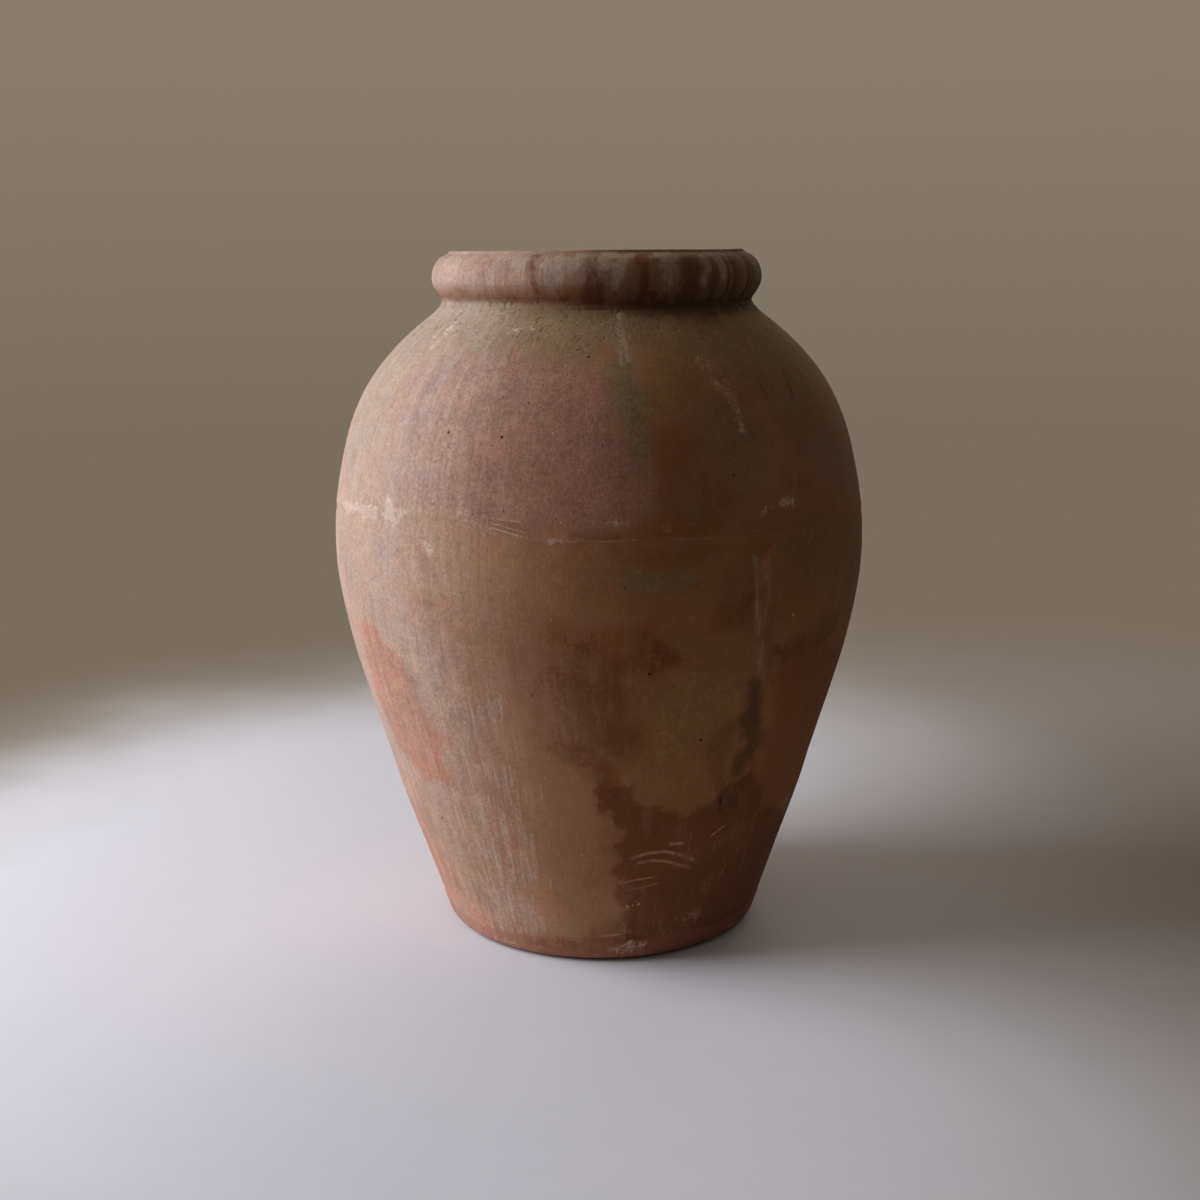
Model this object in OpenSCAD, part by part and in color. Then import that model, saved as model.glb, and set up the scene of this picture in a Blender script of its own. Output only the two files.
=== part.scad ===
// Large terracotta olive jar with a rolled rim.
// Millimetres, +Z up, origin on the ground at the middle of the foot.
// The jar is built from clay pieces that are luted face to face and fired as one.

/* [Overall] */
// Height from the ground to the top of the rim
jar_h = 700; // [600:10:840]
// Diameter at the widest part of the belly
belly_d = 544; // [450:2:660]
// Height of the widest part of the belly
belly_z = 400; // [330:5:460]

/* [Foot] */
// Diameter of the wall where it stands on the floor slab
foot_d = 342; // [280:2:412]
// Thickness of the floor slab, which shows as a band round the foot
slab_t = 30; // [24:1:40]
// Rounding of the slab's lower edge
foot_edge_r = 18; // [6:1:22]
// Lean of the lower wall away from upright, in degrees
foot_lean = 19; // [8:1:26]

/* [Wall] */
// Thickness of the fired wall
wall_t = 20; // [14:1:26]
// Slope of the shoulder away from upright where the rim sits, in degrees
shoulder_slope = 53; // [40:1:60]
// How long the lower wall keeps its lean, as a share of its height
lower_straightness = 0.68; // [0.4:0.02:0.8]
// How long the wall stays upright just under the belly, as a share of the same
under_belly_fullness = 0.12; // [0.06:0.02:0.3]
// How long the wall stays upright above the belly, as a share of the shoulder's height
over_belly_fullness = 0.68; // [0.4:0.02:0.8]
// How long the shoulder keeps its slope below the rim, as a share of the same
shoulder_straightness = 0.25; // [0.1:0.01:0.4]

/* [Rim and mouth] */
// Diameter of the mouth
mouth_d = 250; // [200:2:300]
// Width of the seat on the neck's edge that carries the rim
seat_w = 32.5; // [28:0.5:40]
// How far the roll stands out past the groove under it
roll_overhang = 10.5; // [6:0.5:16]
// Radius of the roll's section
roll_r = 26; // [22:1:30]
// Height of the rim collar above its seat
rim_h = 55; // [50:1:70]
// How much of the roll's top is worn flat
rim_wear = 0.5; // [0.2:0.1:2]
// Rounding of the rim's inner lip
lip_r = 12; // [4:1:14]

/* [Luted joints] */
// Height of the joint of the lower and the upper body above the widest part
belly_joint_rise = 46; // [10:2:80]
// Width of the V-shaped key under the upper body and the rim
key_w = 10; // [6:1:14]
// Depth of that key, which sits in a groove of the piece below
key_h = 6; // [3:1:10]
// Height of the clay band pressed over the belly joint, inside
belly_coil_h = 46; // [30:2:70]
// Thickness of that band at its middle
belly_coil_t = 7; // [4:0.5:10]
// Reach of the coil in the inner corner, along the floor and up the wall
base_coil_leg = 22; // [12:1:32]
// Radius of the finger-smoothed hollow of that coil
base_coil_hollow_r = 45; // [30:1:60]

/* [Hidden] */

// Sides of a full turn
round_fn = 144;
// Straight steps along each half of the wall's curve
curve_steps = 14;

// Corners of the outline, as [radius, height]
foot_pt = [foot_d / 2, slab_t];
belly_pt = [belly_d / 2, belly_z];
neck_z = jar_h - rim_h;
mouth_r = mouth_d / 2;
neck_pt = [mouth_r + seat_w, neck_z];
rim_r = neck_pt[0] + roll_overhang;
belly_joint_z = belly_z + belly_joint_rise;

// Directions along the wall at the foot, going up, and at the neck, going down
foot_dir = [sin(foot_lean), cos(foot_lean)];
neck_dir = [sin(shoulder_slope), -cos(shoulder_slope)];

// The wall is two cubic curves that meet upright at the belly
lower_h = belly_z - slab_t;
upper_h = neck_z - belly_z;
lower_curve = [
    foot_pt,
    foot_pt + lower_straightness * lower_h * foot_dir / foot_dir[1],
    belly_pt - [0, under_belly_fullness * lower_h],
    belly_pt
];
upper_curve = [
    belly_pt,
    belly_pt + [0, over_belly_fullness * upper_h],
    neck_pt + shoulder_straightness * upper_h * neck_dir,
    neck_pt
];

// Point and direction of a cubic curve at t, which goes from 0 to 1
function curve_pt(c, t) = pow(1 - t, 3) * c[0] + 3 * pow(1 - t, 2) * t * c[1]
    + 3 * (1 - t) * t * t * c[2] + pow(t, 3) * c[3];
function curve_dir(c, t) = pow(1 - t, 2) * (c[1] - c[0])
    + 2 * (1 - t) * t * (c[2] - c[1]) + t * t * (c[3] - c[2]);
// Unit vector that points out of the wall, for a curve that climbs
function outward(dir) = [dir[1], -dir[0]] / norm(dir);
function inner_pt(c, t) = curve_pt(c, t) - wall_t * outward(curve_dir(c, t));

outer_pts = concat(
    [for (i = [0:curve_steps]) curve_pt(lower_curve, i / curve_steps)],
    [for (i = [1:curve_steps]) curve_pt(upper_curve, i / curve_steps)]
);
offset_pts = concat(
    [for (i = [0:curve_steps]) inner_pt(lower_curve, i / curve_steps)],
    [for (i = [1:curve_steps]) inner_pt(upper_curve, i / curve_steps)]
);

// The inner face runs on straight to the slab below and to the rim's seat above
inner_foot = offset_pts[0] + (slab_t - offset_pts[0][1]) / foot_dir[1] * foot_dir;
inner_top = offset_pts[len(offset_pts) - 1];
inner_neck = inner_top + (neck_z - inner_top[1]) / neck_dir[1] * neck_dir;
inner_pts = concat([inner_foot], offset_pts, [inner_neck]);

// Radius of the inner and the outer face at height z
function inner_r(z) = lookup(z, [for (p = inner_pts) [p[1], p[0]]]);
function outer_r(z) = lookup(z, [for (p = outer_pts) [p[1], p[0]]]);

// Each key runs round the middle of the seat that carries it
belly_key_r = (inner_r(belly_joint_z) + outer_r(belly_joint_z)) / 2;
neck_key_r = mouth_r + seat_w / 2;
// How far a key's root reaches up into its own piece
key_root = 2;

// The slab's edge follows the wall's lean and turns under with a rounding
edge_touch_z = foot_edge_r * (1 - sin(foot_lean));
edge_touch_r = foot_pt[0] - (slab_t - edge_touch_z) * tan(foot_lean);
edge_centre = [edge_touch_r - foot_edge_r * cos(foot_lean), foot_edge_r];

// Middle of the roll's section
roll_centre = [rim_r - roll_r, jar_h - roll_r + rim_wear];

// The corner coil's hollow passes through its two feather edges
coil_floor_pt = [inner_foot[0] - base_coil_leg, slab_t];
coil_wall_pt = inner_foot + base_coil_leg * foot_dir;
coil_half_chord = norm(coil_wall_pt - coil_floor_pt) / 2;
coil_mid = (coil_floor_pt + coil_wall_pt) / 2;
coil_away = (coil_mid - inner_foot) / norm(coil_mid - inner_foot);
hollow_reach = sqrt(pow(base_coil_hollow_r, 2) - pow(coil_half_chord, 2));
hollow_centre = coil_mid + hollow_reach * coil_away;

// The belly coil is a round band sunk in the wall, so that only its crown shows
band_r = (pow(belly_coil_h / 2, 2) + pow(belly_coil_t, 2)) / (2 * belly_coil_t);
band_centre = [inner_r(belly_joint_z) - belly_coil_t + band_r, belly_joint_z];

module wall_outline() {
    polygon(concat([[0, slab_t]], outer_pts, [[0, neck_z]]));
}

module cavity_outline() {
    polygon(concat([[0, slab_t]], inner_pts, [[0, neck_z]]));
    translate([0, slab_t]) square([mouth_r, neck_z - slab_t]);
}

// Section of the wall between two heights
module wall_section(low_z, high_z) {
    intersection() {
        difference() {
            wall_outline();
            cavity_outline();
        }
        translate([0, low_z]) square([belly_d, high_z - low_z]);
    }
}

// Section of a key, or of its groove, under a seat at height z
module key_section(mid_r, z) {
    polygon([[mid_r - key_w / 2, z], [mid_r, z - key_h], [mid_r + key_w / 2, z],
             [mid_r + key_w / 2, z + key_root], [mid_r - key_w / 2, z + key_root]]);
}

module slab_section() {
    polygon([[0, 0], [edge_centre[0], 0], [edge_touch_r, edge_touch_z],
             foot_pt, [0, slab_t]]);
    intersection() {
        translate(edge_centre) circle(r = foot_edge_r, $fn = round_fn);
        square([foot_d, edge_centre[1]]);
    }
}

module rim_section() {
    difference() {
        intersection() {
            union() {
                translate(roll_centre) circle(r = roll_r, $fn = round_fn);
                translate([mouth_r, neck_z]) square([seat_w, roll_centre[1] - neck_z]);
                translate([mouth_r, neck_z]) square([roll_centre[0] - mouth_r, rim_h]);
            }
            translate([mouth_r, neck_z]) square([rim_r, rim_h]);
        }
        difference() {
            translate([mouth_r, jar_h - lip_r]) square(lip_r);
            translate([mouth_r + lip_r, jar_h - lip_r]) circle(r = lip_r, $fn = round_fn);
        }
    }
}

module turned() {
    rotate_extrude($fn = round_fn) children();
}

module base_slab() {
    color("#a8644c") turned() slab_section();
}

module lower_body() {
    color("#b5836a") turned() difference() {
        wall_section(slab_t, belly_joint_z);
        key_section(belly_key_r, belly_joint_z);
    }
}

module upper_body() {
    color("#b08d7c") turned() difference() {
        union() {
            wall_section(belly_joint_z, neck_z);
            key_section(belly_key_r, belly_joint_z);
        }
        key_section(neck_key_r, neck_z);
    }
}

module rim_collar() {
    color("#a07e6b") turned() {
        rim_section();
        key_section(neck_key_r, neck_z);
    }
}

module base_joint_coil() {
    color("#b4775c") turned() intersection() {
        difference() {
            polygon([coil_floor_pt, inner_foot + [wall_t, 0],
                     coil_wall_pt + [wall_t, 0], coil_wall_pt, hollow_centre]);
            translate(hollow_centre) circle(r = base_coil_hollow_r, $fn = round_fn);
        }
        cavity_outline();
    }
}

module belly_joint_coil() {
    color("#b87c62") turned() intersection() {
        translate(band_centre) circle(r = band_r, $fn = round_fn);
        cavity_outline();
    }
}

base_slab();
lower_body();
upper_body();
rim_collar();
base_joint_coil();
belly_joint_coil();
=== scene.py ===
# %% [markdown]
# # A big olive jar
# This lesson builds the looks of a waist-high terracotta jar for oil and olives.
# The jar's sizes come from a imported CAD model, the frame, which is loaded first and never changed.
# Every visible piece is turned round the jar's axis in code, as a potter turns it on the wheel,
# and then made uneven: out of round, wiped, dented, stained and scratched.

# %% Load the frame
import math

import bpy
import numpy as np
from mathutils import Matrix, Vector


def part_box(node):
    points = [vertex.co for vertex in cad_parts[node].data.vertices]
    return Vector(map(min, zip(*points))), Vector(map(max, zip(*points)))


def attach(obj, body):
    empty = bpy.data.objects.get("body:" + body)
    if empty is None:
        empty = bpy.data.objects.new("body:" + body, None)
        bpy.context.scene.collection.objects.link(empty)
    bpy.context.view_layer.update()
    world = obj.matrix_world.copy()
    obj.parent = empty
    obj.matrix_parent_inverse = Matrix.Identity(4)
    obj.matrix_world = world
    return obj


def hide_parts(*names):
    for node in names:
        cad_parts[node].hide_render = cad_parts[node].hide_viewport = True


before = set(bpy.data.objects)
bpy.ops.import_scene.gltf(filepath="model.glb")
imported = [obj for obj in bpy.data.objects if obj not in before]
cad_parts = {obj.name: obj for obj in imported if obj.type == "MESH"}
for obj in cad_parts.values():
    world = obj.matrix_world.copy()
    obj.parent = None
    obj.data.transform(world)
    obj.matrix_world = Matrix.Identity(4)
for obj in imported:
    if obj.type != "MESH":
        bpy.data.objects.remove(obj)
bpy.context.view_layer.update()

# %% [markdown]
# ## Sizes
# The lesson works in metres, and the frame already says how big each piece of clay is.
# Reading the sizes from the boxes of the CAD nodes keeps the looks and the CAD in step.
# A few sizes can't be read from a box, such as the wall's thickness. They are named here.

# %% Read the jar's sizes
slab_low, slab_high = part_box("base_slab")
lower_low, lower_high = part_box("lower_body")
upper_low, upper_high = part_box("upper_body")
rim_low, rim_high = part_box("rim_collar")

MM = 0.001
jar_height = rim_high.z
slab_top = slab_high.z
foot_radius = slab_high.x
belly_radius = lower_high.x
seam_height = lower_high.z
neck_height = upper_high.z
rim_radius = rim_high.x

key_depth = 6 * MM
key_width = 10 * MM
wall_thickness = 20 * MM
belly_height = 400 * MM
mouth_radius = 125 * MM
neck_radius = 157.5 * MM
lip_rounding = 12 * MM
foot_rounding = 18 * MM
foot_lean = math.radians(19)
shoulder_slope = math.radians(53)

print("height", round(jar_height, 4), "belly", round(2 * belly_radius, 4),
      "rim", round(2 * rim_radius, 4), "foot", round(2 * foot_radius, 4))

# %% [markdown]
# ## The camera
# The photo was taken at the height of the rim, so the rim's top is a straight line in it,
# and the lens looks down a little, so the foot's edge is a shallow curve.
# Those two facts and the jar's outline fix the camera: a 50 mm lens on a 36 mm wide sensor,
# 1.74 m away and 0.70 m up, pitched down by not quite 12 degrees and rolled by half a degree.

# %% Place the camera
photo_side = 1200
focal_pixels = 1680
camera_place = Vector((1.1 * MM, -1738 * MM, 700 * MM))
camera_pitch = math.radians(11.785)
camera_roll = math.radians(-0.46)

lens = bpy.data.cameras.new("jar_camera")
lens.sensor_width = 36
lens.lens = focal_pixels / photo_side * lens.sensor_width
lens.clip_start = 0.05
lens.clip_end = 60
camera = bpy.data.objects.new("jar_camera", lens)
bpy.context.scene.collection.objects.link(camera)
camera.matrix_world = (
    Matrix.Translation(camera_place)
    @ Matrix.Rotation(math.radians(90) - camera_pitch, 4, "X")
    @ Matrix.Rotation(camera_roll, 4, "Z")
)
bpy.context.scene.camera = camera
print("lens, mm:", round(lens.lens, 2))

# %% [markdown]
# ## The outline
# A potter judges a jar by its outline. Here it has four stretches: the rounded edge of the foot,
# the leaning lower wall, the shoulder, and the rolled rim.
# The wall's two stretches are cubic curves that meet upright at the belly, as in the CAD.
# The rim's section is a list of radii at depths below its top, because a rolled rim
# isn't a true circle: it has a thin worn ledge at its top and is fullest below its middle.

# %% Draw the outline
def cubic(corners, steps):
    """Points along a cubic curve with four control points."""
    t = np.linspace(0, 1, steps)[:, None]
    a, b, c, d = (np.array(p, float) for p in corners)
    return (1 - t) ** 3 * a + 3 * (1 - t) ** 2 * t * b + 3 * (1 - t) * t * t * c + t ** 3 * d


def along(points):
    """Distance travelled at each point of a line."""
    return np.concatenate([[0], np.cumsum(np.linalg.norm(np.diff(points, axis=0), axis=1))])


def respaced(points, step):
    """The same line with even steps, its ends kept."""
    run = along(points)
    count = max(2, int(round(run[-1] / step)) + 1)
    at = np.linspace(0, run[-1], count)
    return np.stack([np.interp(at, run, points[:, k]) for k in (0, 1)], 1)


foot_direction = np.array([math.sin(foot_lean), math.cos(foot_lean)])
neck_direction = np.array([math.sin(shoulder_slope), -math.cos(shoulder_slope)])
foot_point = np.array([foot_radius, slab_top])
belly_point = np.array([belly_radius, belly_height])
neck_point = np.array([neck_radius, neck_height])
lower_reach = belly_height - slab_top
upper_reach = neck_height - belly_height

lower_curve = cubic([foot_point, foot_point + 0.68 * lower_reach * foot_direction / foot_direction[1],
                     belly_point - [0, 0.12 * lower_reach], belly_point], 400)
upper_curve = cubic([belly_point, belly_point + [0, 0.68 * upper_reach],
                     neck_point + 0.25 * upper_reach * neck_direction, neck_point], 400)

edge_touch_z = foot_rounding * (1 - math.sin(foot_lean))
edge_touch_r = foot_radius - (slab_top - edge_touch_z) * math.tan(foot_lean)
foot_flat = edge_touch_r - foot_rounding * math.cos(foot_lean)
turn = np.linspace(0, math.radians(90) - foot_lean, 30)
foot_curve = np.stack([foot_flat + foot_rounding * np.sin(turn),
                       foot_rounding * (1 - np.cos(turn))], 1)

# Radius and depth below the top, in mm, round the outside of the rolled rim
RIM_SECTION = [(157.5, 55), (157.1, 52), (157.6, 49), (159.4, 46), (161.7, 43), (163.8, 39.5),
               (165.8, 35.5), (167.0, 31.5), (167.4, 27.5), (167.2, 23.5), (166.4, 19.5),
               (165.0, 15.5), (162.7, 11.5), (159.3, 7.7), (155.8, 5.4), (152.4, 3.9),
               (150.4, 2.6), (149.3, 1.2), (148.4, 0.35), (146.6, 0)]


def smooth_line(points, step):
    """A line through the points with rounded corners, at even steps."""
    p = np.array(points, float)
    run = along(p)
    fine = np.linspace(0, run[-1], 900)
    raw = np.stack([np.interp(fine, run, p[:, k]) for k in (0, 1)], 1)
    width = 13
    ends = np.concatenate([np.repeat(raw[:1], width, 0), raw, np.repeat(raw[-1:], width, 0)])
    weights = np.hanning(2 * width + 1)
    weights /= weights.sum()
    soft = np.stack([np.convolve(ends[:, k], weights, mode="valid") for k in (0, 1)], 1)
    soft[0], soft[-1] = raw[0], raw[-1]
    return respaced(soft, step)


rim_line = smooth_line([(r * MM, jar_height - d * MM) for r, d in RIM_SECTION], 0.2 * MM)
outline = np.concatenate([foot_curve, lower_curve, upper_curve[1:], rim_line[1:]])
outline_run = along(outline)
run_by_height = np.maximum.accumulate(outline[:, 1] + np.arange(len(outline)) * 1e-12)


def run_at(height):
    """How far along the outline a height lies."""
    return np.interp(height, run_by_height, outline_run)


cad_points = np.concatenate([
    np.array([v.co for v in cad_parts[n].data.vertices]) for n in ("lower_body", "upper_body")])
cad_radius = np.hypot(cad_points[:, 0], cad_points[:, 1])
outer_radius = np.interp(cad_points[:, 2], outline[:, 1][:-1], outline[:, 0][:-1])
outside = np.abs(cad_radius - outer_radius) < 4 * MM
print("outline", round(outline_run[-1], 3), "m long; outer CAD points lie within",
      round(float(np.abs(cad_radius - outer_radius)[outside].max()) / MM, 2), "mm of it")

# %% [markdown]
# ## Unevenness from one source
# Clay is never even. Lumps, wiping marks, stains and bloom all need a soft random field.
# Blender has noise for materials, and its mathutils has noise for points one by one, which is slow
# for half a million points, so a small lattice noise in numpy does the same for all at once.
# A fixed seed for each use makes the jar come out the same every time.

# %% A soft random field
def lattice(x, y, z, seed):
    """A fixed random number from -1 to 1 for each whole-number place."""
    mixed = (x * 73856093) ^ (y * 19349663) ^ (z * 83492791) ^ (seed * 6271)
    mixed = (mixed ^ (mixed >> 13)) & 0xFFFFFFFF
    mixed = (mixed * 1274126177) & 0xFFFFFFFF
    mixed = ((mixed ^ (mixed >> 16)) * 668265263) & 0xFFFFFFFF
    return ((mixed >> 8) & 0xFFFF) / 32767.5 - 1


def lumps(points, size, seed, layers=4, gain=0.55):
    """Soft noise from about -1 to 1. The largest lump is about size metres wide."""
    total = np.zeros(len(points))
    weight = 1.0
    reach = 0.0
    at = points / size
    for layer in range(layers):
        cell = np.floor(at).astype(np.int64)
        part = at - cell
        part = part * part * (3 - 2 * part)
        value = 0
        for dx in (0, 1):
            wx = part[:, 0] if dx else 1 - part[:, 0]
            for dy in (0, 1):
                wy = part[:, 1] if dy else 1 - part[:, 1]
                for dz in (0, 1):
                    wz = part[:, 2] if dz else 1 - part[:, 2]
                    corner = lattice(cell[:, 0] + dx, cell[:, 1] + dy, cell[:, 2] + dz, seed + layer)
                    value = value + wx * wy * wz * corner
        total += weight * value
        reach += weight
        weight *= gain
        at = at * 2.03 + 17.3
    return total / reach * 1.6


def step(value, low, high):
    """0 below low, 1 above high and a smooth rise between. With low above high it falls."""
    t = np.clip((value - low) / (high - low), 0, 1)
    return t * t * (3 - 2 * t)


sample = np.random.default_rng(3).uniform(-0.3, 0.3, (4000, 3))
field = lumps(sample, 0.05, 1)
print("noise runs from", round(field.min(), 2), "to", round(field.max(), 2))

# %% [markdown]
# ## Places on the jar
# A mark on a turned pot is best named by its angle and its height.
# Angle 0 faces the camera and positive angles go to the right; heights are above the floor, in mm.
# The belly seam isn't level. It runs at 446 mm and climbs to 464 mm at the left,
# where the upper half sat a little askew before the two halves were pressed together.

# %% Angles, heights and the seam
class Places:
    """Angle in radians, height and outline run in metres for every point of a turned piece."""

    def __init__(self, angle, radius, height):
        self.angle = angle
        self.radius = radius
        self.height = height
        self.run = run_at(height)
        self.round_x = np.sin(angle)
        self.round_y = -np.cos(angle)
        self.points = np.stack([radius * self.round_x, radius * self.round_y, height], 1)
        # A cylinder of one radius, unrolled, for marks that follow the wall up and down
        self.wrap = np.stack([0.25 * self.round_x, 0.25 * self.round_y, self.run], 1)

    def offset(self, degrees, height_mm):
        """Millimetres to the right of a spot and above it, along the clay."""
        gap = (np.degrees(self.angle) - degrees + 180) % 360 - 180
        across = np.radians(gap) * self.radius / MM
        return across, (self.run - run_at(height_mm * MM)) / MM


# Angle in degrees and height of the seam in mm, all round
SEAM_PATH = [(-180, 447), (-140, 450), (-110, 452), (-80, 453), (-65, 455), (-48, 461), (-30, 464),
             (-25, 461), (-18, 451), (-12, 447), (0, 445), (30, 445), (60, 444), (110, 446), (180, 447)]


def seam_at(angle):
    degrees, height = np.array(SEAM_PATH, float).T
    return np.interp(np.degrees(angle), degrees, height) * MM


print("seam from", min(h for a, h in SEAM_PATH), "to", max(h for a, h in SEAM_PATH), "mm")

# %% [markdown]
# ## The potter's unevenness
# No wheel-thrown jar this size is round or has a true outline. Seen against the light, this one
# swells and dips by up to a millimetre, the belly joint stands up as a low ridge,
# the floor slab shows as a band at the foot, and the surface was wiped sideways with a wet hand.
# A displacement modifier could do it, but a formula keeps every piece in step at the joints:
# both sides of a joint ask the same function and so move by the same amount.

# %% Move the outer face
# Height and swell of the outline in mm, measured against the smooth curve
OUTLINE_SWELL = [(0, 0.5), (20, 0.5), (47, 0.2), (100, 0.1), (130, 0.6), (157, 0.7), (184, -0.4),
                 (228, -0.6), (268, 0.1), (300, 0.6), (346, 0.1), (384, 0), (430, 0.7), (461, 0.1),
                 (490, -0.8), (525, -0.4), (565, -0.5), (600, -1.1), (640, -0.1), (700, 0)]


def slow_shape(p):
    """Out-of-round and slow lumps, in mm. The inner face follows it too."""
    oval = 0.8 * np.sin(2 * p.angle + 2 * (p.height - 0.4))
    three = 0.3 * np.cos(3 * p.angle + 5 * p.height)
    return oval + three + 0.45 * lumps(p.points, 0.17, 11, 2)


def outer_shape(p):
    """How far the outer face stands out from the true outline, in mm."""
    heights, swell = np.array(OUTLINE_SWELL, float).T
    waves = np.interp(p.height / MM, heights, swell)
    dents = 0.16 * lumps(p.points, 0.05, 21, 3)
    wrapped = p.wrap * [1, 1, 12]
    throwing = 0.06 * lumps(wrapped, 0.14, 31, 2)
    wiping = 0.035 * lumps(p.wrap * [1, 1, 30], 0.12, 41, 3)
    from_seam = (p.height - seam_at(p.angle)) / MM
    broken = 0.55 + 0.45 * lumps(p.points, 0.03, 51, 2)
    ridge = 0.9 * broken * np.exp(-(from_seam / 2.6) ** 2) - 0.35 * np.exp(-((from_seam + 7) / 3.5) ** 2)
    edge_wander = 1.2 * lumps(p.points, 0.06, 61, 2)
    band = 0.7 * step(p.height / MM + edge_wander, 29.5, 25.5)
    smoothed = 2.4 * np.exp(-((p.height - neck_height) / MM / 4.4) ** 2)
    return slow_shape(p) + waves + dents + throwing + wiping + ridge + band + smoothed


test = Places(np.linspace(-math.pi, math.pi, 2000), np.full(2000, belly_radius), np.full(2000, belly_height))
print("at the belly the wall stands out by", round(outer_shape(test).min(), 2), "to",
      round(outer_shape(test).max(), 2), "mm")

# %% [markdown]
# ## The inner face
# Inside, nobody wiped the throwing marks away. Each turn of the wheel left a ring about 14 mm high,
# and the rings climb as one long spiral. They are real waves in the mesh, so they show in the
# opening from above. They fade where fingers pressed the joint's clay band flat.

# %% Move the inner face
ring_pitch = 14 * MM
ring_depth = 0.7


def inner_shape(p):
    """How far the inner face moves outward, in mm."""
    spiral = p.angle + 2 * math.pi * p.run / ring_pitch + 0.5 * lumps(p.points, 0.12, 71, 2)
    calm = step(p.height, 0.058, 0.085) * (1 - step(p.height, 0.395, 0.415) * step(p.height, 0.495, 0.475))
    calm = calm * step(p.height, 0.650, 0.640)
    rings = ring_depth * np.cos(spiral) * (0.7 + 0.3 * lumps(p.points, 0.08, 81, 2))
    return slow_shape(p) * step(p.height, 0.0, 0.03) + rings * calm


print("inner rings", ring_pitch / MM, "mm apart and", 2 * ring_depth, "mm deep")

# %% [markdown]
# ## Turning a piece
# A lathe modifier or the spin tool would turn a section, but then each ring of points would be
# a copy of the last. Here the rings are laid out in code, so that every point can ask the shape
# functions above where it belongs. A section is a list of stretches: the outer face, the luted
# seat with its V-shaped key, and the inner face. Each stretch says how deep in the wall its two
# ends lie, 0 for the outer and 1 for the inner face, so a seat follows both faces.

# %% Lay out a section
def lay_section(stretches, closed):
    """Rows of a section: their places and depths, each strip's kind and share of the kind's length."""
    total, used = {}, {}
    for line, kind, depths in stretches:
        total[kind] = total.get(kind, 0) + along(line)[-1]
    rows, row_depth, kinds, shares, borders = [], [], [], [], []
    for line, kind, depths in stretches:
        run = along(line)
        start = used.get(kind, 0)
        borders.append(len(rows))
        for k in range(len(line) - 1):
            rows.append(line[k])
            row_depth.append(depths[0] + (depths[1] - depths[0]) * run[k] / run[-1])
            kinds.append(kind)
            shares.append(((start + run[k]) / total[kind], (start + run[k + 1]) / total[kind]))
        used[kind] = start + run[-1]
    if not closed:
        rows.append(stretches[-1][0][-1])
        row_depth.append(stretches[-1][2][1])
    return np.array(rows), np.array(row_depth), kinds, np.array(shares), borders


# %% [markdown]
# ## A flat map for each piece
# A flat map lets each piece's finish be painted onto a picture.
# The outer face is what people look at, so it gets two thirds of the picture: its front half
# lies in one band and its back half in another. The inner face and the hidden seats share the rest.

# %% Lay a strip on the flat map
MAP_BANDS = {"front": (0.665, 0.330), "back": (0.330, 0.330), "inner": (0.075, 0.250), "seat": (0.005, 0.065)}


def flat_map(kinds, shares, columns):
    """Map places of the four corners of every face."""
    column = np.arange(columns)
    quarter, half = columns // 4, columns // 2
    places = np.zeros((len(kinds), columns, 4, 2))
    for s, kind in enumerate(kinds):
        if kind == "outer":
            left, wide = ((column - quarter) % half) / half, 1 / half
            front = (column >= quarter) & (column < quarter + half)
            low = np.where(front, MAP_BANDS["front"][0], MAP_BANDS["back"][0])
            tall = MAP_BANDS["front"][1] - 0.006
        else:
            left, wide = column / columns, 1 / columns
            low, tall = MAP_BANDS[kind][0], MAP_BANDS[kind][1] - 0.006
        for corner, (aside, end) in enumerate(((0, 0), (1, 0), (1, 1), (0, 1))):
            places[s, :, corner, 0] = 0.004 + 0.992 * (left + aside * wide)
            places[s, :, corner, 1] = low + tall * shares[s][end]
    return places


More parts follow.
